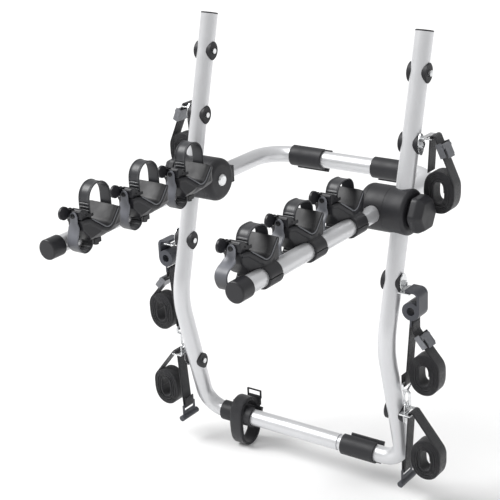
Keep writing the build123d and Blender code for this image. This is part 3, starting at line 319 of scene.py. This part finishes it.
def loose_strap_route(step):
    """The loose strap's middle line: its sewn end, then its roll round the left foot's sleeve."""
    centre = LOOSE_STRAP["roll"]
    corners = [*LOOSE_STRAP["corners"], (centre[0] + LOOSE_ROLL["radius"], centre[1])]
    line = np.vstack([rounded(corners, LOOSE_STRAP["radii"]), roll(centre, step, **LOOSE_ROLL)[1:]])
    line, where = evenly(line, step)
    return relaxed(line, WEB_SPREAD), where


def grid_faces(rings, around):
    """Quads of a tube-like grid whose rows close on themselves, and its two end faces."""
    row = np.arange(rings - 1)[:, None] * around
    here = np.arange(around)[None, :]
    after = (here + 1) % around
    quads = np.stack([row + here, row + after, row + around + after, row + around + here], axis=-1)
    quads = quads.reshape(-1, 4)
    ends = [list(range(around))[::-1], [(rings - 1) * around + k for k in range(around)]]
    return quads, ends


def tube_mesh(name, rings, along=None, across=None):
    """A closed mesh of one or more grids, each an array of rings by points by 3, in metres.

    along and across, when given, hold each point's place on the strap and fill the UV map.
    """
    points, quads, ends, spots = [], [], [], []
    base = 0
    for number, grid in enumerate(rings):
        faces, caps = grid_faces(*grid.shape[:2])
        flat = grid.reshape(-1, 3)
        centre = flat.mean(0)
        a, b, c, d = (flat[faces[:, k]] - centre for k in range(4))
        volume = (a * np.cross(b, c)).sum() + (a * np.cross(c, d)).sum()
        if volume < 0:
            faces = faces[:, ::-1]
            caps = [cap[::-1] for cap in caps]
        points.append(flat)
        quads.append(faces + base)
        ends += [[base + k for k in cap] for cap in caps]
        if along is not None:
            places = np.stack(np.broadcast_arrays(along[number][:, None], across[number]), axis=-1)
            spots.append(places.reshape(-1, 2))
        base += len(flat)
    mesh = bpy.data.meshes.new(name)
    mesh.from_pydata(np.vstack(points).tolist(), [], np.vstack(quads).tolist() + ends)
    if spots:
        corner = np.empty(len(mesh.loops), np.int32)
        mesh.loops.foreach_get("vertex_index", corner)
        layer = mesh.uv_layers.new(name="strap")
        layer.data.foreach_set("uv", np.vstack(spots)[corner].astype(np.float32).ravel())
    mesh.shade_smooth()
    mesh.validate()
    return mesh


def piece(name, mesh, material, body, slot, *stands_for):
    """A new object that rides on a body, takes the given finish and hides the CAD nodes that it stands for.
    The slot is not used.
    """
    obj = bpy.data.objects.new(name, mesh)
    bpy.context.scene.collection.objects.link(obj)
    mesh.materials.append(material)
    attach(obj, body)
    if stands_for:
        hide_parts(*stands_for)
    return obj


def softened(node, grid, passes):
    """A mesh of a CAD node with even faces and worn edges: remeshed, then averaged with its neighbours."""
    source = bpy.data.objects.new("source", NODES[node].data)
    bpy.context.scene.collection.objects.link(source)
    remesh = source.modifiers.new("even", "REMESH")
    remesh.mode = "VOXEL"
    remesh.voxel_size = grid
    smooth = source.modifiers.new("worn", "SMOOTH")
    smooth.factor = 0.5
    smooth.iterations = passes
    mesh = bpy.data.meshes.new_from_object(source.evaluated_get(bpy.context.evaluated_depsgraph_get()))
    bpy.data.objects.remove(source)
    mesh.materials.clear()
    mesh.shade_smooth()
    return mesh


def points_of(mesh):
    """A mesh's points and their normals."""
    spots = np.empty(len(mesh.vertices) * 3)
    mesh.vertices.foreach_get("co", spots)
    normals = np.empty(len(mesh.vertices) * 3)
    mesh.vertex_normals.foreach_get("vector", normals)
    return spots.reshape(-1, 3), normals.reshape(-1, 3)


def in_cradle(spots, sign):
    """Points measured in millimetres from the middle of the nearest cradle: out, along Y and up."""
    along = (spots[:, 1] - HUB.y) / MM
    places = np.array(CRADLE_ALONG)
    nearest = places[np.abs(along[:, None] - places[None, :]).argmin(axis=1)]
    out = spots[:, 0] / MM - sign * CRADLE_OUT
    return np.column_stack([out, along - nearest, (spots[:, 2] - HUB.z) / MM])


def step_down(value, start, end):
    """One below start, zero above end, and smooth between them."""
    share = np.clip((value - start) / (end - start), 0, 1)
    return 1 - share * share * (3 - 2 * share)


def trough_line():
    """The trough's edge seen from the side, as evenly spaced points along Y and up."""
    return evenly(rounded(TROUGH["corners"], TROUGH["radii"]), TROUGH_STEP)[0]


def half_plan(along):
    """Half a saddle's width at places along Y, all in millimetres."""
    return np.interp(along, SADDLE_PLAN[:, 0], SADDLE_PLAN[:, 1])


def shape_saddle(mesh, sign, sizes, edge):
    """Gives a saddle a flange along its trough and a bowl's rising underside.

    On the flanks, points within the flange's height under the trough's edge move out along their
    normals. The underside rises with the square of the distance from the arm, and stays under the trough.
    """
    fade, flank_from, flank_over, middle, blend = 1.2, 0.35, 0.4, 12.0, 2.0
    bowl_from, bowl_over, foot, cover, share_lifted = -4.0, 34.0, 4.0, 5.0, 0.92
    spots, normals = points_of(mesh)
    local = in_cradle(spots, sign)
    apart = np.linalg.norm(local[:, None, 1:] - edge[None, ::2], axis=2).min(axis=1)
    level = np.interp(local[:, 1], edge[:, 0], edge[:, 1])
    under = np.clip((level + blend / 2 - local[:, 2]) / blend, 0, 1)
    flank = np.clip((np.abs(normals[:, 0]) - flank_from) / flank_over, 0, 1)
    flank = flank * np.clip(np.abs(local[:, 0]) - middle, 0, 1)
    height = sizes.flange_height / MM
    rise = sizes.flange * flank * under * step_down(apart, height - fade, height + fade)
    share = np.clip((-sign * local[:, 0] - bowl_from) / bowl_over, 0, 1) ** 2
    bottom = share * np.minimum(foot + sizes.bowl / MM, np.maximum(level - cover, 0))
    spots += normals * rise[:, None]
    spots[:, 2] += np.maximum(bottom - local[:, 2], 0) * share_lifted * MM
    mesh.vertices.foreach_set("co", spots.ravel())


def shape_buckle(mesh, sign, sizes):
    """Lets a buckle's top fall smoothly from its front to its rear."""
    front, rear = -37.0, -20.0
    spots, _ = points_of(mesh)
    local = in_cradle(spots, sign)
    height = np.maximum(local[:, 2] - TROUGH["corners"][0][1], 0)
    lost = (1 - sizes.buckle_slope) * (1 - step_down(local[:, 1], front, rear))
    spots[:, 2] -= height * lost * MM
    mesh.vertices.foreach_set("co", spots.ravel())


def shape_liner(mesh, sign, sizes):
    """Swells a liner's upper face towards its middle."""
    reach = 9.0
    spots, normals = points_of(mesh)
    local = in_cradle(spots, sign)
    margin = half_plan(local[:, 1]) - np.abs(local[:, 0])
    crown = sizes.crown * (1 - step_down(margin, 0.0, reach)) * np.clip(normals[:, 2], 0, 1)
    mesh.vertices.foreach_set("co", (spots + normals * crown[:, None]).ravel())


def rim_grids(edge, sign, sizes):
    """Rings of the liners' rolled rims: round beads along both edges of each trough, thin at their ends."""
    front, rear, above, outside, around, fullness, thinnest = -29.0, 25.5, 1.6, 0.9, 12, 12, 0.02
    part = edge[(edge[:, 0] > front) & (edge[:, 0] < rear)] + (0.0, above)
    out = half_plan(part[:, 0]) + outside
    turn = np.linspace(0, 2 * math.pi, around, endpoint=False)
    share = np.abs(np.linspace(-1, 1, len(part)))
    radius = sizes.rim * np.sqrt(np.clip(1 - share ** fullness, thinnest, 1))[:, None]
    ahead = np.gradient(part, axis=0)
    ahead /= np.linalg.norm(ahead, axis=1)[:, None]
    first = part[:, :1] * MM - ahead[:, 1:] * radius * np.sin(turn) + HUB.y
    second = part[:, 1:] * MM + ahead[:, :1] * radius * np.sin(turn) + HUB.z
    return [np.stack([flank * out[:, None] * MM + radius * np.cos(turn) + sign * CRADLE_OUT * MM,
                      first + middle * MM, second], axis=-1) for middle in CRADLE_ALONG for flank in (-1, 1)]


def strip(line, half_width, left, right, across, place):
    """Rings of a flat strip: at each point of the line a closed section, wider than thick.

    across runs from -1 to 1. The section's two sides stand off the line along its normal by
    left and right, which fall to zero at the edges along a quarter circle. place turns
    (first, second, sideways) into X, Y and Z.
    """
    ahead = np.gradient(line, axis=0)
    ahead /= np.linalg.norm(ahead, axis=1)[:, None]
    normal = np.column_stack([-ahead[:, 1], ahead[:, 0]])
    inner = across[1:-1]
    section = np.concatenate([across, inner[::-1]])
    side = np.concatenate([np.ones(len(across)), -np.ones(len(inner))])
    order = np.concatenate([np.arange(len(across)), np.arange(1, len(across) - 1)[::-1]])
    off = np.where(side[None, :] > 0, left[:, order], -right[:, order])
    sideways = half_width[:, None] * section[None, :]
    first = line[:, :1] + normal[:, :1] * off
    second = line[:, 1:] + normal[:, 1:] * off
    return place(first, second, sideways), sideways


def web_piece(name, route, wander, place, stands_for):
    """Webbing along a route, which wanders sideways; place turns strip's places into X, Y and Z."""
    sizes = bpy.context.scene.rack_webbing
    line, where = route
    half = sizes.width / 2
    thick = sizes.thickness / 2
    profile = thick * edge_round(WEB_ACROSS, half, thick)[None, :] * np.ones((len(line), 1))

    def wandering(first, second, sideways):
        return place(first, second, sideways + (wander * MM)[:, None])
    rings, spots = strip(line * MM, np.full(len(line), half), profile, profile, WEB_ACROSS, wandering)
    mesh = tube_mesh("webbing", [rings], [where * MM], [spots])
    piece(name, mesh, FINISHES["webbing"], "frame", "webbing", stands_for)


def edge_round(across, half_width, thickness):
    """How thick a strip is across its width: full, then down to zero along a quarter circle."""
    inset = thickness / half_width
    past = np.clip((np.abs(across) - (1 - inset)) / inset, 0.0, 1.0)
    return np.sqrt(1 - past ** 2)


class Finish:
    """Builds one material's nodes around a Principled shader."""

    def __init__(self, name, colour, roughness, metallic=0.0, **sockets):
        self.material = bpy.data.materials.new(name)
        self.material.use_nodes = True
        self.tree = self.material.node_tree
        self.shader = self.tree.nodes["Principled BSDF"]
        self.shader.inputs["Base Color"].default_value = (*colour, 1.0)
        self.shader.inputs["Roughness"].default_value = roughness
        self.shader.inputs["Metallic"].default_value = metallic
        for socket, value in sockets.items():
            self.shader.inputs[socket.replace("_", " ")].default_value = value
        self.colour = colour
        self.coordinates = self.node("ShaderNodeTexCoord")
        self.height = None

    def node(self, kind, **inputs):
        """A node with its inputs set or linked: by name, with _ for a space, or by number, as i0 or i1."""
        node = self.tree.nodes.new(kind)
        for key, value in inputs.items():
            numbered = key[0] == "i" and key[1:].isdigit()
            socket = node.inputs[int(key[1:]) if numbered else key.replace("_", " ")]
            if isinstance(value, bpy.types.NodeSocket):
                self.tree.links.new(value, socket)
            else:
                socket.default_value = value
        return node

    def math(self, operation, first, second=0.0, third=0.0):
        """One arithmetic step."""
        node = self.node("ShaderNodeMath", i0=first, i1=second, i2=third)
        node.operation = operation
        return node.outputs[0]

    def noise(self, scale, detail=3.0, roughness=0.55, stretch=(1.0, 1.0, 1.0)):
        """Noise on Object coordinates, in cells per metre."""
        where = self.node("ShaderNodeMapping", Vector=self.coordinates.outputs["Object"], Scale=stretch)
        return self.node("ShaderNodeTexNoise", Vector=where.outputs[0], Scale=scale, Detail=detail,
                         Roughness=roughness).outputs["Fac"]

    def between(self, factor, low, high, start=NOISE_LOW, end=NOISE_HIGH):
        """A value that runs from low to high as the factor runs from start to end."""
        return self.node("ShaderNodeMapRange", Value=factor, From_Min=start, From_Max=end, To_Min=low,
                         To_Max=high).outputs[0]

    def shades(self, factor, darker, lighter):
        """Base colour that varies with the factor between two multiples of itself."""
        ramp = self.tree.nodes.new("ShaderNodeValToRGB")
        stops = zip(ramp.color_ramp.elements, (NOISE_LOW, NOISE_HIGH), (darker, lighter))
        for stop, position, multiple in stops:
            stop.position = position
            stop.color = (*(min(1.0, c * multiple) for c in self.colour), 1.0)
        self.tree.links.new(factor, ramp.inputs[0])
        self.tree.links.new(ramp.outputs[0], self.shader.inputs["Base Color"])

    def polish(self, factor, low, high):
        """Roughness that varies with the factor between two values."""
        self.tree.links.new(self.between(factor, low, high), self.shader.inputs["Roughness"])

    def paint_sheen(self, factor, multiple):
        """Multiplies the varied base colour as the factor nears one: a painted sheen on the toothed straps'
        smooth plate.
        """
        base = self.shader.inputs["Base Color"].links[0].from_socket
        scale = self.math("MULTIPLY_ADD", factor, multiple - 1.0, 1.0)
        node = self.node("ShaderNodeVectorMath", i0=base, i3=scale)
        node.operation = "SCALE"
        self.tree.links.new(node.outputs[0], self.shader.inputs["Base Color"])

    def relief(self, factor, depth):
        """Adds a height in metres to the surface's relief."""
        rise = self.math("MULTIPLY", factor, depth)
        self.height = rise if self.height is None else self.math("ADD", self.height, rise)

    def done(self, edge=0.0):
        """Links the relief, with edges rounded by edge metres, and returns the material."""
        normal = self.node("ShaderNodeBevel", Radius=edge).outputs[0] if edge else None
        if self.height is not None:
            bump = self.node("ShaderNodeBump", Height=self.height, Distance=1.0)
            if normal is not None:
                self.tree.links.new(normal, bump.inputs["Normal"])
            normal = bump.outputs[0]
        if normal is not None:
            self.tree.links.new(normal, self.shader.inputs["Normal"])
        return self.material


def moulded(name, colour, roughness, grain=0.00003, edge=0.0008, gloss=0.4):
    """Moulded plastic or rubber: fine grain, faint patches of shine and soft edges."""
    finish = Finish(name, colour, roughness, Specular_IOR_Level=gloss)
    patches = finish.noise(38.0, 4.0)
    finish.shades(finish.noise(16.0, 5.0), 0.86, 1.16)
    finish.polish(patches, roughness - 0.07, roughness + 0.08)
    finish.relief(finish.noise(2100.0, 2.0), grain)
    return finish.done(edge)


def silver_paint(colours):
    """Silver powder coat: fine metal flake, faint patches of shine and soft orange peel."""
    finish = Finish("silver_paint", colours.tube, 0.34, 0.55, Coat_Weight=0.2, Coat_Roughness=0.2)
    finish.shades(finish.noise(2600.0, 2.0), 0.95, 1.05)
    finish.polish(finish.noise(60.0, 3.0), 0.30, 0.40)
    finish.relief(finish.noise(650.0, 2.0), 0.00001)
    return finish.done()


def zinc_plate(name, colours, roughness):
    """Bright zinc plate with faint clouds and drawn lines."""
    finish = Finish(name, colours.zinc, roughness, 1.0)
    finish.shades(finish.noise(120.0, 5.0), 0.82, 1.08)
    finish.polish(finish.noise(260.0, 4.0), roughness - 0.08, roughness + 0.12)
    finish.relief(finish.noise(900.0, 3.0, stretch=(1.0, 1.0, 0.15)), 0.00002)
    return finish.done(0.0004)


def woven(name, colour, sizes):
    """Webbing: ribs across the strap, crossed by yarns along it, and fuzzy sheen."""
    finish = Finish(name, colour, 0.62, Sheen_Weight=0.35, Sheen_Roughness=0.45, Specular_IOR_Level=0.35)
    place = finish.node("ShaderNodeUVMap")
    place.uv_map = "strap"
    split = finish.node("ShaderNodeSeparateXYZ", Vector=place.outputs[0])
    turn = 2 * math.pi
    along = finish.math("SINE", finish.math("MULTIPLY", split.outputs[0], turn / sizes.rib))
    across = finish.math("SINE", finish.math("MULTIPLY", split.outputs[1], turn / (sizes.rib * 0.8)))
    weave = finish.math("MULTIPLY", along, across)
    finish.relief(weave, 0.00010)
    finish.relief(along, 0.00006)
    cloud = finish.noise(90.0, 4.0)
    mixed = finish.math("ADD", finish.between(weave, 0.2, 0.8, -1.0, 1.0),
                        finish.math("MULTIPLY", cloud, 0.5))
    finish.shades(finish.math("SUBTRACT", mixed, 0.25), 0.72, 1.35)
    finish.polish(cloud, 0.55, 0.72)
    return finish.done()


def toothed_rubber(colours, sizes):
    """Satin rubber of the toothed straps, with a painted sheen that makes the smooth plate at the tip paler.
    """
    finish = Finish("toothed_rubber", colours.strap, 0.38, Specular_IOR_Level=0.5)
    place = finish.node("ShaderNodeUVMap")
    place.uv_map = "strap"
    along = finish.node("ShaderNodeSeparateXYZ", Vector=place.outputs[0]).outputs[0]
    finish.shades(finish.noise(16.0, 5.0), 0.86, 1.16)
    # The smooth plate at the tip is painted paler here: a painted sheen.
    fade = 0.3 * sizes.smooth_end
    plate = finish.between(along, 1.0, 0.0, sizes.smooth_end - fade, sizes.smooth_end + fade)
    finish.paint_sheen(plate, sizes.painted_sheen)
    finish.polish(finish.noise(38.0, 4.0), 0.32, 0.44)
    finish.relief(finish.noise(2100.0, 2.0), 0.00003)
    return finish.done()


def floor_finish(colours):
    """Pale matt floor with the faintest mottling."""
    finish = Finish("pale_floor", colours.floor, 0.8, Specular_IOR_Level=0.2)
    finish.shades(finish.noise(3.0, 2.0), 0.995, 1.005)
    return finish.done()


# Finishes that more than one operator uses.
FINISHES = {}


def dress(material, *names):
    """Gives CAD nodes a finished material in place of their plain one."""
    for name in names:
        slots = NODES[name].material_slots
        if not slots:
            raise RuntimeError("CAD node without a material slot: " + name)
        for slot in slots:
            slot.material = material


def both(*stems):
    """The left and right node of each stem."""
    return [stem + side for stem in stems for side, _ in SIDES]


class RACK_OT_tubes(bpy.types.Operator):
    """Paints the frame, upper frame and arm tubes"""
    bl_idname = "rack.tubes"
    bl_label = "Painted tubes"

    def execute(self, context):
        dress(silver_paint(context.scene.rack_colours), "upper_tube", *both("side_tube_", "arm_tube_"))
        return {"FINISHED"}


class RACK_OT_moulded_parts(bpy.types.Operator):
    """Finishes hubs, knobs, plugs, washers, caps, clamps, levers, feet and hooks"""
    bl_idname = "rack.moulded_parts"
    bl_label = "Moulded parts"

    def execute(self, context):
        colours = context.scene.rack_colours
        dress(moulded("hub_plastic", colours.hub, 0.50), "hub_clamps",
              *both("arm_socket_", "upper_socket_"))
        knob = moulded("knob_plastic", colours.hub, 0.44, edge=0.0)
        for side, _ in SIDES:
            mesh = softened("hub_knob_" + side, KNOB_GRID, KNOB_PASSES)
            piece("knob_" + side, mesh, knob, "knob_" + side, "hub_plastic", "hub_knob_" + side)
        dress(moulded("plug_plastic", colours.cradle, 0.5), "tube_plugs", "saddle_washers")
        dress(moulded("cap_plastic", colours.hub, 0.36, grain=0.00002), *both("arm_cap_"))
        dress(moulded("clamp_plastic", colours.cradle, 0.42, edge=0.0012), *both("cradle_clamps_"))
        dress(moulded("loose_buckle_plastic", colours.cradle, 0.38), "safety_buckle")
        dress(moulded("lever_plastic", colours.cradle, 0.40, edge=0.001),
              *("release_lever_%s_%d" % (side, number) for side, _ in SIDES for number in (1, 2, 3)))
        dress(moulded("foot_rubber", colours.foot, 0.5, edge=0.001), "upper_pads", "lower_pads")
        dress(moulded("hook_coating", colours.hook, 0.34, grain=0.00001, edge=0.0012), "trunk_hooks",
              "foot_hooks")
        return {"FINISHED"}


class RACK_OT_zinc_parts(bpy.types.Operator):
    """Finishes bolts, nuts, brackets, snap hooks, pins and cam buckles"""
    bl_idname = "rack.zinc_parts"
    bl_label = "Zinc parts"

    def execute(self, context):
        colours = context.scene.rack_colours
        dress(zinc_plate("bright_zinc", colours, 0.24), "hub_bolts", "frame_bolts", "frame_nuts",
              "strap_brackets", "snap_hooks", *both("snap_gate_"))
        dark = Finish("blackened_screw", (0.03, 0.03, 0.032), 0.3, 0.6)
        dark.shades(dark.noise(300.0), 0.8, 1.3)
        dark.polish(dark.noise(200.0), 0.25, 0.4)
        dress(dark.done(0.0003), *both("cradle_screws_", "lever_pins_"))
        cam = Finish("cam_metal", (0.20, 0.205, 0.22), 0.38, 0.7)
        cam.shades(cam.noise(200.0, 4.0), 0.85, 1.15)
        cam.polish(cam.noise(150.0, 3.0), 0.32, 0.46)
        cam.relief(cam.noise(1200.0, 2.0), 0.00002)
        dress(cam.done(0.0006), "cam_buckles", *both("cam_lever_top_", "cam_lever_mid_"))
        return {"FINISHED"}


class RACK_OT_cradles(bpy.types.Operator):
    """Softens the saddles and buckles, swells the liners and gives these a rolled rim, painted paler as a
    highlight
    """
    bl_idname = "rack.cradles"
    bl_label = "Cradles"

    def execute(self, context):
        sizes = context.scene.rack_cradles
        colours = context.scene.rack_colours
        shell = moulded("cradle_plastic", colours.cradle, 0.40, edge=0.0, gloss=0.5)
        rubber = moulded("liner_rubber", colours.liner, 0.48, edge=0.0)
        # The rims are painted paler than the liners as a highlight along their lips.
        paler = moulded("liner_rim_painted_highlight", colours.rim, 0.35, edge=0.0, gloss=0.6)
        ratchet = moulded("buckle_plastic", colours.cradle, 0.38, edge=0.0)
        edge = trough_line()
        for side, sign in SIDES:
            arm = "arm_" + side
            saddles = softened("cradle_saddles_" + side, sizes.grid, sizes.passes)
            shape_saddle(saddles, sign, sizes, edge)
            piece("saddles_" + side, saddles, shell, arm, "cradle_plastic", "cradle_saddles_" + side)
            buckles = softened("strap_buckles_" + side, sizes.buckle_grid, BUCKLE_PASSES)
            shape_buckle(buckles, sign, sizes)
            piece("buckles_" + side, buckles, ratchet, arm, "buckle_plastic", "strap_buckles_" + side)
            liners = softened("cradle_pads_" + side, sizes.liner_grid, LINER_PASSES)
            shape_liner(liners, sign, sizes)
            piece("liners_" + side, liners, rubber, arm, "cradle_rubber", "cradle_pads_" + side)
            rims = tube_mesh("liner_rims", rim_grids(edge, sign, sizes))
            piece("liner_rims_" + side, rims, paler, arm, "cradle_rubber")
        return {"FINISHED"}


class RACK_OT_side_straps(bpy.types.Operator):
    """Weaves the six side straps with their rolled-up ends"""
    bl_idname = "rack.side_straps"
    bl_label = "Side straps"

    def execute(self, context):
        sizes = context.scene.rack_webbing
        FINISHES["webbing"] = woven("webbing", context.scene.rack_colours.webbing, sizes)
        for level, strap in SIDE_STRAPS.items():
            route = side_strap_route(strap, sizes.step / MM)
            share = route[1] / route[1][-1]
            wander = strap["wander"] * np.sin(share * SIDE_WAVES + strap["level"])
            wander *= np.clip(share * 3 - 1, 0, 1)
            for side, sign in SIDES:
                def place(first, second, sideways):
                    return np.stack([sign * (TUBE_OUT * MM + first), sideways + HUB.y + strap["level"] * MM,
                                     second + HUB.z], axis=-1)
                web_piece("webbing_" + level + "_" + side, route, wander, place, level + "_strap_" + side)
        return {"FINISHED"}


class RACK_OT_loose_strap(bpy.types.Operator):
    """Weaves the loose strap that is rolled round the left foot's sleeve"""
    bl_idname = "rack.loose_strap"
    bl_label = "Loose strap"

    def execute(self, context):
        route = loose_strap_route(context.scene.rack_webbing.step / MM)
        share = route[1] / route[1][-1]
        wander = LOOSE_STRAP["wander"] * np.sin(share * LOOSE_STRAP["waves"])

        def place(first, second, sideways):
            return np.stack([sideways + LOOSE_STRAP["out"] * MM, first + HUB.y, second + HUB.z], axis=-1)
        web_piece("webbing_loose", route, wander, place, "safety_strap")
        return {"FINISHED"}


class RACK_OT_toothed_straps(bpy.types.Operator):
    """Moulds the toothed straps that hold the bikes' tubes"""
    bl_idname = "rack.toothed_straps"
    bl_label = "Toothed straps"

    def execute(self, context):
        sizes = context.scene.rack_toothed
        rubber = toothed_rubber(context.scene.rack_colours, sizes)
        half = sizes.width / 2
        tip = sizes.tip_width / 2
        flare_from, flare_over, fade, rim_share, least = 16 * MM, 10 * MM, 4 * MM, 0.75, 0.05
        edge = edge_round(TOOTHED_ACROSS, half, sizes.back)
        ladder = np.clip((LADDER_HALF - np.abs(TOOTHED_ACROSS)) / LADDER_FADE, 0, 1)[None, :]
        for side, sign in SIDES:
            rings, alongs, spots = [], [], []
            for number, middle in enumerate(CRADLE_ALONG):
                kind = "tall" if side == "left" else "long" if number == len(CRADLE_ALONG) - 1 else "short"
                route = TOOTHED_LINES[kind]
                line, where = evenly(rounded(route["corners"], route["radii"]),
                                     sizes.pitch / MM / sizes.faces_per_tooth)
                line = relaxed(line, TOOTHED_SPREAD) * MM
                run = where * MM
                nose = np.sqrt(np.clip(1 - np.clip(1 - run / tip, 0, 1) ** 2, 0, 1))
                flare = 1 - step_down(run, flare_from, flare_from + flare_over)
                wide = (tip + (half - tip) * flare) * np.maximum(nose, least)
                bend = route["radii"][-1] * math.pi / 2 * MM
                top = run[np.argmax(line[:, 1])] - bend
                toothed = np.clip((run - sizes.smooth_end) / fade, 0, 1) * np.clip((top - run) / fade, 0, 1)
                wave = np.clip(0.75 + 1.5 * np.cos(2 * math.pi * run / sizes.pitch), 0, 1)
                teeth = (1 - ladder) * rim_share + ladder * (toothed * wave)[:, None]
                left = (sizes.web + sizes.tooth * teeth) * edge
                right = sizes.back * edge[None, :] * np.ones((len(line), 1))

                def place(first, second, sideways):
                    return np.stack([sign * CRADLE_OUT * MM + sideways, first + HUB.y + middle * MM,
                                     second + HUB.z], axis=-1)
                grid, spot = strip(line, wide, left, right, TOOTHED_ACROSS, place)
                rings.append(grid)
                alongs.append(run)
                spots.append(spot)
            mesh = tube_mesh("toothed_straps", rings, alongs, spots)
            piece("toothed_straps_" + side, mesh, rubber, "arm_" + side, "strap_rubber",
                  "ladder_straps_" + side)
        return {"FINISHED"}


class RACK_OT_stage(bpy.types.Operator):
    """Sets the floor, the soft studio light and the camera"""
    bl_idname = "rack.stage"
    bl_label = "Stage"

    def execute(self, context):
        scene = context.scene
        studio = scene.rack_studio
        low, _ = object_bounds()
        reach = studio.floor_reach
        mesh = bpy.data.meshes.new("floor")
        z = low.z - studio.floor_gap
        mesh.from_pydata([(-reach, -reach, z), (reach, -reach, z), (reach, reach, z), (-reach, reach, z)], [],
                         [(0, 1, 2, 3)])
        mesh.materials.append(floor_finish(scene.rack_colours))
        ground = bpy.data.objects.new("floor", mesh)
        scene.collection.objects.link(ground)
        ground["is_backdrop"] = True
        world = bpy.data.worlds.new("soft_sky")
        world.use_nodes = True
        sky = world.node_tree.nodes["Background"]
        sky.inputs["Color"].default_value = (1.0, 1.0, 1.0, 1.0)
        sky.inputs["Strength"].default_value = studio.sky
        scene.world = world
        sun = bpy.data.lights.new("key", "SUN")
        sun.energy = studio.key
        sun.angle = studio.key_spread
        lamp = bpy.data.objects.new("key", sun)
        lamp.rotation_euler = (studio.key_tilt, 0.0, studio.key_turn)
        scene.collection.objects.link(lamp)
        camera = bpy.data.cameras.new("camera")
        camera.lens = studio.lens
        camera.sensor_width = studio.sensor
        holder = bpy.data.objects.new("camera", camera)
        rows = [(across, up, -ahead, at) for across, up, ahead, at in
                zip(CAMERA_ACROSS, CAMERA_UP, CAMERA_AHEAD, CAMERA_PLACE)]
        holder.matrix_world = Matrix(rows + [(0.0, 0.0, 0.0, 1.0)])
        scene.collection.objects.link(holder)
        scene.camera = holder
        scene.view_settings.view_transform = "Standard"
        return {"FINISHED"}


class RACK_PT_panel(bpy.types.Panel):
    """Lists the rack's steps in the 3D view's sidebar"""
    bl_idname = "RACK_PT_panel"
    bl_label = "Bike rack"
    bl_space_type = "VIEW_3D"
    bl_region_type = "UI"
    bl_category = "Rack"

    def draw(self, context):
        for step in STEPS:
            self.layout.operator(step.bl_idname)
        for group in (context.scene.rack_colours, context.scene.rack_webbing, context.scene.rack_toothed,
                      context.scene.rack_cradles, context.scene.rack_studio):
            box = self.layout.box()
            for name in group.bl_rna.properties.keys():
                if name not in ("rna_type", "name"):
                    box.prop(group, name)


STEPS = (RACK_OT_tubes, RACK_OT_moulded_parts, RACK_OT_zinc_parts, RACK_OT_cradles, RACK_OT_side_straps,
         RACK_OT_loose_strap, RACK_OT_toothed_straps, RACK_OT_stage)
GROUPS = {"rack_colours": RackColours, "rack_webbing": WebbingSizes, "rack_toothed": ToothedStrapSizes,
          "rack_cradles": CradleSizes, "rack_studio": StudioSettings}


def register():
    for group in GROUPS.values():
        bpy.utils.register_class(group)
    for name, group in GROUPS.items():
        setattr(bpy.types.Scene, name, PointerProperty(type=group))
    for step in (*STEPS, RACK_PT_panel):
        bpy.utils.register_class(step)


def unregister():
    for step in (RACK_PT_panel, *reversed(STEPS)):
        bpy.utils.unregister_class(step)
    for name in GROUPS:
        delattr(bpy.types.Scene, name)
    for group in reversed(GROUPS.values()):
        bpy.utils.unregister_class(group)


def main():
    register()
    for step in STEPS:
        group, name = step.bl_idname.split(".")
        getattr(getattr(bpy.ops, group), name)()


if __name__ == "__main__":
    main()
